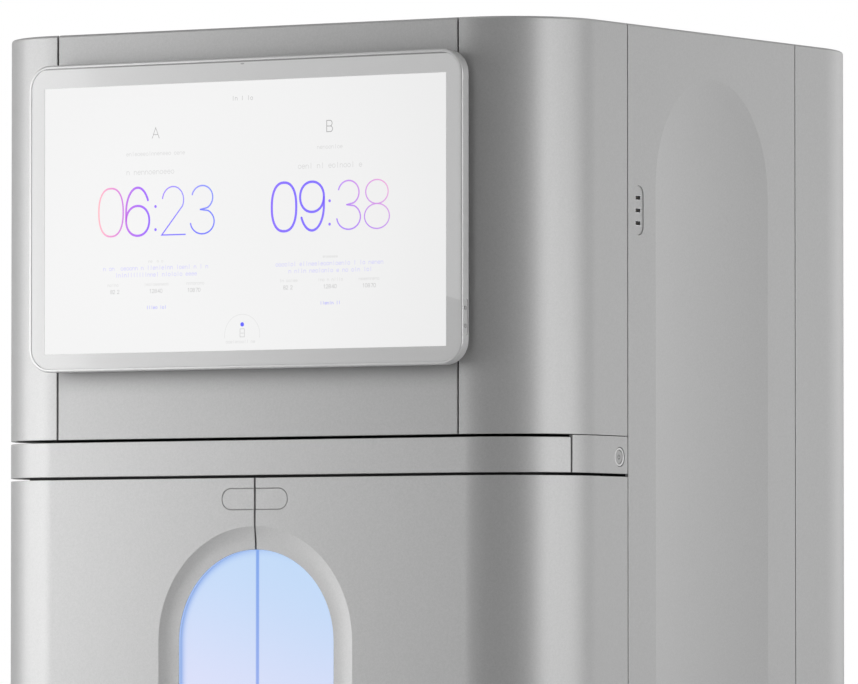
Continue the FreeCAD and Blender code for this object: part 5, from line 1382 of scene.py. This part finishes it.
@dataclass
class ScreenPicture:
    """What the screen shows: two clock times, two letters, faint marks in place of words, an icon."""

    bench: Bench
    clearance: float = 0.06 * MM
    clocks: tuple[tuple[str, float, float, float], ...] = (
        ("0", -219.0, -181.5, 2.3), ("6", -177.0, -141.5, 3.0), (":", -134.4, -129.5, 1.9),
        ("2", -122.4, -86.5, 1.7), ("3", -78.6, -42.6, 2.0),
        ("0", 44.5, 81.2, 3.3), ("9", 87.0, 122.5, 3.2), (":", 128.8, 133.3, 1.9),
        ("3", 141.8, 176.9, 2.0), ("8", 182.9, 219.8, 1.7))
    clock_levels: Point = (1324.3, 1385.8)
    colon_levels: Point = (1331.5, 1361.0)
    icon: Point = (3.3, 1197.1)
    icon_half: float = 5.1
    value_level: float = 1250.9
    value_size: Point = (3.0, 4.6)
    value_pitch: float = 3.9
    mark_pitch: float = 0.86
    gap_share: float = 0.16
    inks: dict[str, Finish] = field(default_factory=lambda: {
        "left": GradientInk("ink_left_clock", (0.5, 0.2, 0.9), stops=(
            (-0.222, srgb(253, 178, 184)), (-0.196, srgb(226, 132, 205)), (-0.172, srgb(180, 96, 232)),
            (-0.142, srgb(146, 80, 246)), (-0.110, srgb(150, 128, 250)), (-0.070, srgb(138, 142, 248)),
            (-0.040, srgb(120, 140, 248))), foot=srgb(66, 70, 246)),
        "right": GradientInk("ink_right_clock", (0.2, 0.2, 0.9), stops=(
            (0.042, srgb(128, 96, 250)), (0.085, srgb(118, 96, 250)), (0.125, srgb(120, 96, 248)),
            (0.150, srgb(190, 140, 240)), (0.180, srgb(208, 140, 226)), (0.222, srgb(238, 170, 212))),
            foot=srgb(150, 120, 244)),
        "deep": FlatInk("ink_deep_blue", srgb(72, 74, 250)),
        "letter": FlatInk("ink_letter_grey", srgb(168, 168, 168)),
        "pale": FlatInk("ink_pale_grey", srgb(214, 214, 214)),
        "grey": FlatInk("ink_grey", srgb(190, 190, 190)),
        "lilac": FlatInk("ink_lilac", srgb(206, 204, 246)),
        "blue": FlatInk("ink_blue", srgb(150, 150, 250)),
    })

    def build(self) -> None:
        """Builds the ink of the whole picture, one piece for each colour."""
        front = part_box("display_panel")[0].y - self.clearance
        pen = Pen(front)
        sheets = {name: bmesh.new() for name in self.inks}
        self.draw_clocks(pen, sheets)
        self.draw_letters(pen, sheets)
        self.draw_icon(pen, sheets)
        self.draw_values(pen, sheets)
        for name, made in sheets.items():
            if not made.faces:
                made.free()
                continue
            self.face_front(made)
            self.bench.piece(f"screen_ink_{name}", made, self.inks[name], Body.VISOR, "screen_light")
        self.scatter_marks(front)

    def face_front(self, made: bmesh.types.BMesh) -> None:
        """Turns the ink's faces to the front.

        Args:
            made: The ink's mesh.
        """
        for face in made.faces:
            face.normal_update()
            if face.normal.y > 0:
                face.normal_flip()

    def draw_clocks(self, pen: Pen, sheets: dict[str, bmesh.types.BMesh]) -> None:
        """Draws the two clock times.

        Args:
            pen: The pen.
            sheets: Each ink's mesh.
        """
        low, high = self.clock_levels
        for name, left, right, width in self.clocks:
            sheet = sheets["left" if left < 0 else "right"]
            if name == ":":
                for level in self.colon_levels:
                    pen.disc(sheet, ((left + right) / 2 * MM, level * MM), width * MM)
                continue
            size = ((right - left) * MM, (high - low) * MM)
            pen.sign(sheet, name, (left * MM, low * MM), size, width * MM)

    def draw_letters(self, pen: Pen, sheets: dict[str, bmesh.types.BMesh]) -> None:
        """Draws the letters of the two positions."""
        pen.sign(sheets["letter"], "A", (-0.1372, 1.4482), (0.0108, 0.0136), 0.8 * MM)
        pen.sign(sheets["letter"], "B", (0.1262, 1.4482), (0.0096, 0.0142), 1.1 * MM)

    def draw_icon(self, pen: Pen, sheets: dict[str, bmesh.types.BMesh]) -> None:
        """Draws the blue dot, the small cabinet icon and the faint circle round them.

        Args:
            pen: The pen.
            sheets: Each ink's mesh.
        """
        pen.disc(sheets["deep"], (0.0, 1.2079), 2.8 * MM)
        (x, middle), half = self.icon, self.icon_half
        corners = [(-x, -half), (x, -half), (x, half), (-x, half), (-x, -half)]
        pen.ribbon(sheets["grey"], [(a * MM, (middle + b) * MM) for a, b in corners], 0.7 * MM)
        pen.ribbon(sheets["grey"], [(-0.0022, 1.1968), (0.0022, 1.1968)], 0.6 * MM)
        pen.ribbon(sheets["pale"], arc((0.0, 1.1945), (0.0265, 0.0262), -8, 188, 48), 0.5 * MM)

    def draw_values(self, pen: Pen, sheets: dict[str, bmesh.types.BMesh]) -> None:
        """Draws the small figures in the three columns under each clock.

        Args:
            pen: The pen.
            sheets: Each ink's mesh.
        """
        rows = ((-201.0, "82"), (-190.5, "2"), (-141.0, "128"), (-128.5, "40"), (-83.0, "108"), (-70.5, "70"),
                (62.0, "82"), (72.5, "2"), (121.8, "128"), (134.3, "40"), (180.0, "108"), (192.5, "70"))
        size = tuple(part * MM for part in self.value_size)
        for start, text in rows:
            for i, name in enumerate(text):
                low = ((start + self.value_pitch * i) * MM, self.value_level * MM)
                pen.sign(sheets["grey"], name, low, size, 0.6 * MM)

    def lines(self) -> list[WordLine]:
        """The faint lines, each by its middle, level, length and height.

        Returns:
            The lines.
        """
        rows = (
            (-132, 1426.5, 92, 5.0, "pale"), (-131.5, 1402.5, 92, 6.6, "pale"),
            (131.3, 1427.0, 42, 5.0, "pale"), (131.6, 1402.8, 102, 6.6, "pale"),
            (-131.5, 1289.5, 24, 3.8, "pale"), (132, 1289.3, 25, 3.8, "pale"),
            (-131.9, 1280.5, 164, 5.2, "lilac"), (-131, 1271.8, 126, 5.2, "lilac"),
            (130.6, 1280.0, 163, 5.2, "lilac"), (132, 1271.2, 126, 5.2, "lilac"),
            (-193.7, 1260.0, 27, 4.0, "pale"), (-130.7, 1260.0, 38, 4.0, "pale"),
            (-72.8, 1260.0, 34, 4.0, "pale"), (69.6, 1260.0, 28, 4.0, "pale"),
            (132.2, 1260.0, 38, 4.0, "pale"), (189.7, 1260.0, 34, 4.0, "pale"),
            (-130.5, 1230.4, 34, 4.0, "blue"), (132, 1230.6, 34, 4.0, "blue"),
            (0, 1492.5, 36, 5.4, "grey"), (-2.5, 1184.2, 48, 4.0, "pale"))
        return [WordLine(x * MM, z * MM, length * MM, height * MM, ink, seed)
                for seed, (x, z, length, height, ink) in enumerate(rows, start=3)]

    def scatter_marks(self, front: float) -> None:
        """Lays the faint marks out along their lines, one piece for each ink.

        Args:
            front: Where the ink lies.
        """
        pen = Pen(0.0)
        templates = []
        width, thickness = 0.72, 0.13
        for name in "olne":
            made = bmesh.new()
            pen.sign(made, name, (-width / 2, 0.0), (width, 1.0), thickness)
            self.face_front(made)
            mesh = bpy.data.meshes.new(f"mark_{name}")
            made.to_mesh(mesh)
            made.free()
            templates.append(self.bench.new(f"mark_{name}", mesh))
        parts: dict[str, list[bpy.types.Object]] = {}
        for line in self.lines():
            pitch = line.height * self.mark_pitch
            row = Repeat("text_marks", (max(2, int(line.length / pitch)), 1), (pitch, 0.0), tuple(templates),
                         line.height, self.gap_share, line.seed)
            start = line.middle - (row.count[0] - 1) * pitch / 2
            made = row.make(self.bench, self.inks[line.ink], Matrix.Translation((start, front, line.level)))
            parts.setdefault(line.ink, []).append(made)
        for ink, made in parts.items():
            self.bench.hand_over(join(made, f"screen_marks_{ink}"), Body.VISOR, "screen_light")
        for template in templates:
            bpy.data.objects.remove(template)


def join(parts: Sequence[bpy.types.Object], name: str) -> bpy.types.Object:
    """Makes one object of several whose places are in their meshes.

    Args:
        parts: The objects, which are removed.
        name: The new object's name.

    Returns:
        The one object.
    """
    made = bmesh.new()
    for part in parts:
        made.from_mesh(part.data)
    mesh = bpy.data.meshes.new(name)
    made.to_mesh(mesh)
    made.free()
    for material in parts[0].data.materials:
        mesh.materials.append(material)
    for part in parts:
        bpy.data.objects.remove(part)
    whole = bpy.data.objects.new(name, mesh)
    bpy.context.scene.collection.objects.link(whole)
    return whole


@dataclass
class Repeat:
    """Copies of one or more small shapes in rows and columns, made by a Geometry Nodes tree."""

    name: str
    count: tuple[int, int]
    pitch: Point
    templates: tuple[bpy.types.Object, ...]
    size: float = 1.0
    gap_share: float = 0.0
    seed: int = 0

    def tree(self, finish: Finish) -> bpy.types.NodeTree:
        """Builds the tree: a grid of points, a shape picked for each, some left out, all made real.

        Args:
            finish: The finish that the copies get.

        Returns:
            The node tree, with named inputs.
        """
        tree = bpy.data.node_groups.new(self.name, "GeometryNodeTree")
        face = tree.interface
        for label, kind in (("Geometry", "Geometry"), ("Columns", "Int"), ("Rows", "Int"),
                            ("Column Pitch", "Float"), ("Row Pitch", "Float"), ("Size", "Float"),
                            ("Left Out", "Float"), ("Seed", "Int")):
            face.new_socket(label, in_out="INPUT", socket_type=f"NodeSocket{kind}")
        face.new_socket("Geometry", in_out="OUTPUT", socket_type="NodeSocketGeometry")
        graph = Graph(tree)
        outputs = tree.nodes.new("NodeGroupInput").outputs
        given = {socket.name: Wire(graph, socket) for socket in outputs}
        lines = []
        for count, pitch, axis in (("Columns", "Column Pitch", 0), ("Rows", "Row Pitch", 2)):
            offset = graph.add("ShaderNodeCombineXYZ", inputs={axis: given[pitch]})
            lines.append(graph.add("GeometryNodeMeshLine", inputs={"Count": given[count], "Offset": offset}))
        rows = graph.add("GeometryNodeInstanceOnPoints", inputs={"Points": lines[1], "Instance": lines[0]})
        points = graph.add("GeometryNodeRealizeInstances", inputs={0: rows})
        shapes = graph.add("GeometryNodeJoinGeometry")
        for template in reversed(self.templates):
            shape = graph.add("GeometryNodeObjectInfo", inputs={"Object": template, "As Instance": True},
                              output="Geometry")
            graph.plug(shapes.socket.node.inputs[0], shape)
        seed, last = given["Seed"], len(self.templates) - 1
        pick = graph.add("FunctionNodeRandomValue", {"data_type": "INT"},
                         {"Min": 0, 5: last, "Seed": seed}, output=2)
        drawn = graph.add("FunctionNodeRandomValue", {"data_type": "FLOAT"}, {"Seed": seed}, output=1)
        kept = graph.add("FunctionNodeCompare", {"data_type": "FLOAT", "operation": "GREATER_EQUAL"},
                         {0: drawn, 1: given["Left Out"]})
        copies = graph.add("GeometryNodeInstanceOnPoints", inputs={
            "Points": points, "Selection": kept, "Instance": shapes, "Pick Instance": True,
            "Instance Index": pick, "Scale": given["Size"]})
        real = graph.add("GeometryNodeRealizeInstances", inputs={0: copies})
        material = finish.material()
        painted = graph.add("GeometryNodeSetMaterial", inputs={"Geometry": real, "Material": material})
        graph.add("NodeGroupOutput", inputs={0: painted})
        return tree

    def make(self, bench: Bench, finish: Finish, place: Matrix) -> bpy.types.Object:
        """Runs the tree and turns the copies into one plain mesh.

        Args:
            bench: The bench that makes objects.
            finish: The copies' finish.
            place: Where the first copy's origin and the rows' axes lie.

        Returns:
            The object, with its place in its mesh.
        """
        carrier = bench.new(self.name, bpy.data.meshes.new(self.name))
        modifier = carrier.modifiers.new(self.name, "NODES")
        tree = self.tree(finish)
        modifier.node_group = tree
        values = {"Columns": self.count[0], "Rows": self.count[1],
                  "Column Pitch": float(self.pitch[0]), "Row Pitch": float(self.pitch[1]),
                  "Size": float(self.size), "Left Out": float(self.gap_share), "Seed": self.seed}
        for item in tree.interface.items_tree:
            if item.in_out == "INPUT" and item.name in values:
                modifier[item.identifier] = values[item.name]
        bench.settle(carrier)
        carrier.data.transform(place)
        return carrier


@dataclass
class Studio:
    """The floor, the lamps, the pale surroundings and the camera."""

    camera_place: Place = (5.72002, -9.27441, 0.80631)
    turn: float = 0.5534
    pitch: float = 0.0361
    lens: float = 348.06
    surround: float = 0.035
    sheen: float = 0.5
    middle: Place = (0.0, 0.0, 1.1)
    front: Place = (0.0, -0.3, 0.9)
    ring: tuple[tuple[int, float], ...] = (
        (-68, 22.0), (-54, 5.0), (-40, 28.5), (65, 18.5), (72, 7.0), (86, 10.0),
        (100, 9.0), (142, 5.0), (156, 4.3), (170, 8.0), (205, 14.0), (222, 12.0))
    near: tuple[tuple[int, float], ...] = ((-60, 0.6), (-45, 2.5), (90, 1.4))
    overhead: tuple[tuple[int, float], ...] = ((-20, 8.0), (130, 6.0), (215, 12.0))

    def build(self) -> None:
        """Builds the studio."""
        self.make_camera()
        self.make_floor()
        self.make_world()
        for lamp in self.lamps():
            lamp.build()
        scene = bpy.context.scene
        scene.view_settings.view_transform = "Standard"

    def lamps(self) -> list["Lamp"]:
        """The soft lamps: tall ones in a ring, three small ones nearer, and three overhead.

        Returns:
            The lamps.
        """
        groups = (("ring", self.ring, 3.2, 1.3, self.middle, (0.8, 2.2)),
                  ("near", self.near, 1.7, 0.8, self.front, (0.6, 1.2)),
                  ("overhead", self.overhead, 1.835, 3.721, self.middle, (1.4, 1.4)))
        return [Lamp(f"{name}_{azimuth}", azimuth, distance, height, aim, size, power)
                for name, lamps, distance, height, aim, size in groups for azimuth, power in lamps]

    def make_camera(self) -> None:
        """Stands the camera where the photograph was taken from."""
        data = bpy.data.cameras.new("camera")
        data.lens = self.lens
        data.sensor_width = 36.0
        data.sensor_fit = "HORIZONTAL"
        data.clip_start = 0.1
        data.clip_end = 200.0
        thing = bpy.data.objects.new("camera", data)
        thing.location = self.camera_place
        level = math.cos(self.pitch)
        way = Vector((-math.sin(self.turn) * level, math.cos(self.turn) * level, math.sin(self.pitch)))
        thing.rotation_euler = way.to_track_quat("-Z", "Y").to_euler()
        bpy.context.scene.collection.objects.link(thing)
        bpy.context.scene.camera = thing

    def make_floor(self) -> None:
        """Lays the pale floor."""
        mesh = bpy.data.meshes.new("floor")
        reach = 60.0
        corners = [(-reach, -reach, 0), (reach, -reach, 0), (reach, reach, 0), (-reach, reach, 0)]
        mesh.from_pydata(corners, [], [(0, 1, 2, 3)])
        floor = bpy.data.objects.new("floor", mesh)
        bpy.context.scene.collection.objects.link(floor)
        material = bpy.data.materials.new("studio_floor")
        material.use_nodes = True
        graph = Graph(material.node_tree)
        paper = graph.noise(3.0, 2.0)
        shade = graph.tint(paper, (0.80, 0.80, 0.80), (0.84, 0.84, 0.84))
        diffuse = graph.add("ShaderNodeBsdfDiffuse", inputs={0: shade})
        lit = graph.add("ShaderNodeEmission", inputs={0: (1.0, 1.0, 1.0), 1: 1.0})
        x, y, _ = graph.place()
        white = (x * x + y * y).root().rise(1.2, 4.5) * 0.4 + 0.6
        seen = graph.add("ShaderNodeLightPath", output="Is Camera Ray") * white
        mixed = graph.add("ShaderNodeMixShader", inputs={0: seen, 1: diffuse, 2: lit})
        graph.add("ShaderNodeOutputMaterial", inputs={0: mixed})
        mesh.materials.append(material)

    def make_world(self) -> None:
        """Lights the object evenly from all round, dimmer in reflections than as the white background."""
        world = bpy.data.worlds.new("surroundings")
        bpy.context.scene.world = world
        world.use_nodes = True
        graph = Graph(world.node_tree)
        path = graph.add("ShaderNodeLightPath")
        outputs = path.socket.node.outputs
        seen, through, mirrored = (Wire(graph, outputs[name]) for name in
                                   ("Is Camera Ray", "Is Transmission Ray", "Is Glossy Ray"))
        strength = seen.largest(through).largest(mirrored * self.sheen).largest(self.surround)
        background = graph.add("ShaderNodeBackground", inputs={0: (1.0, 1.0, 1.0), 1: strength})
        graph.add("ShaderNodeOutputWorld", inputs={0: background})


@dataclass
class Lamp:
    """A soft rectangular lamp: its azimuth from the front, distance, height and what it is aimed at."""

    name: str
    azimuth: float
    distance: float
    height: float
    aim: Place
    size: Point
    power: float

    def build(self) -> None:
        """Hangs the lamp."""
        data = bpy.data.lights.new(self.name, "AREA")
        data.shape = "RECTANGLE"
        data.size, data.size_y = self.size
        data.energy = self.power
        turn = math.radians(self.azimuth)
        place = Vector((self.distance * math.sin(turn), -self.distance * math.cos(turn), self.height))
        thing = bpy.data.objects.new(self.name, data)
        thing.location = place
        thing.rotation_euler = (Vector(self.aim) - place).to_track_quat("-Z", "Y").to_euler()
        thing.visible_camera = False
        bpy.context.scene.collection.objects.link(thing)


def main() -> None:
    """Builds the instrument's looks in order."""
    logging.basicConfig(level=logging.INFO, format="%(message)s")
    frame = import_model()
    bench = Bench(frame)
    bench.dress_nodes()
    parts = (Covers(bench), LatchPads(bench), GlowingWindowWalls(bench), PowerKey(bench), DrawerGapShade(bench),
             RearScrews(bench), FootThreads(bench), Contacts(bench), DoorSeals(bench), ScreenPicture(bench))
    for part in (*parts, *cap_screws(bench)):
        part.build()
    Studio().build()


if __name__ == "__main__":
    main()
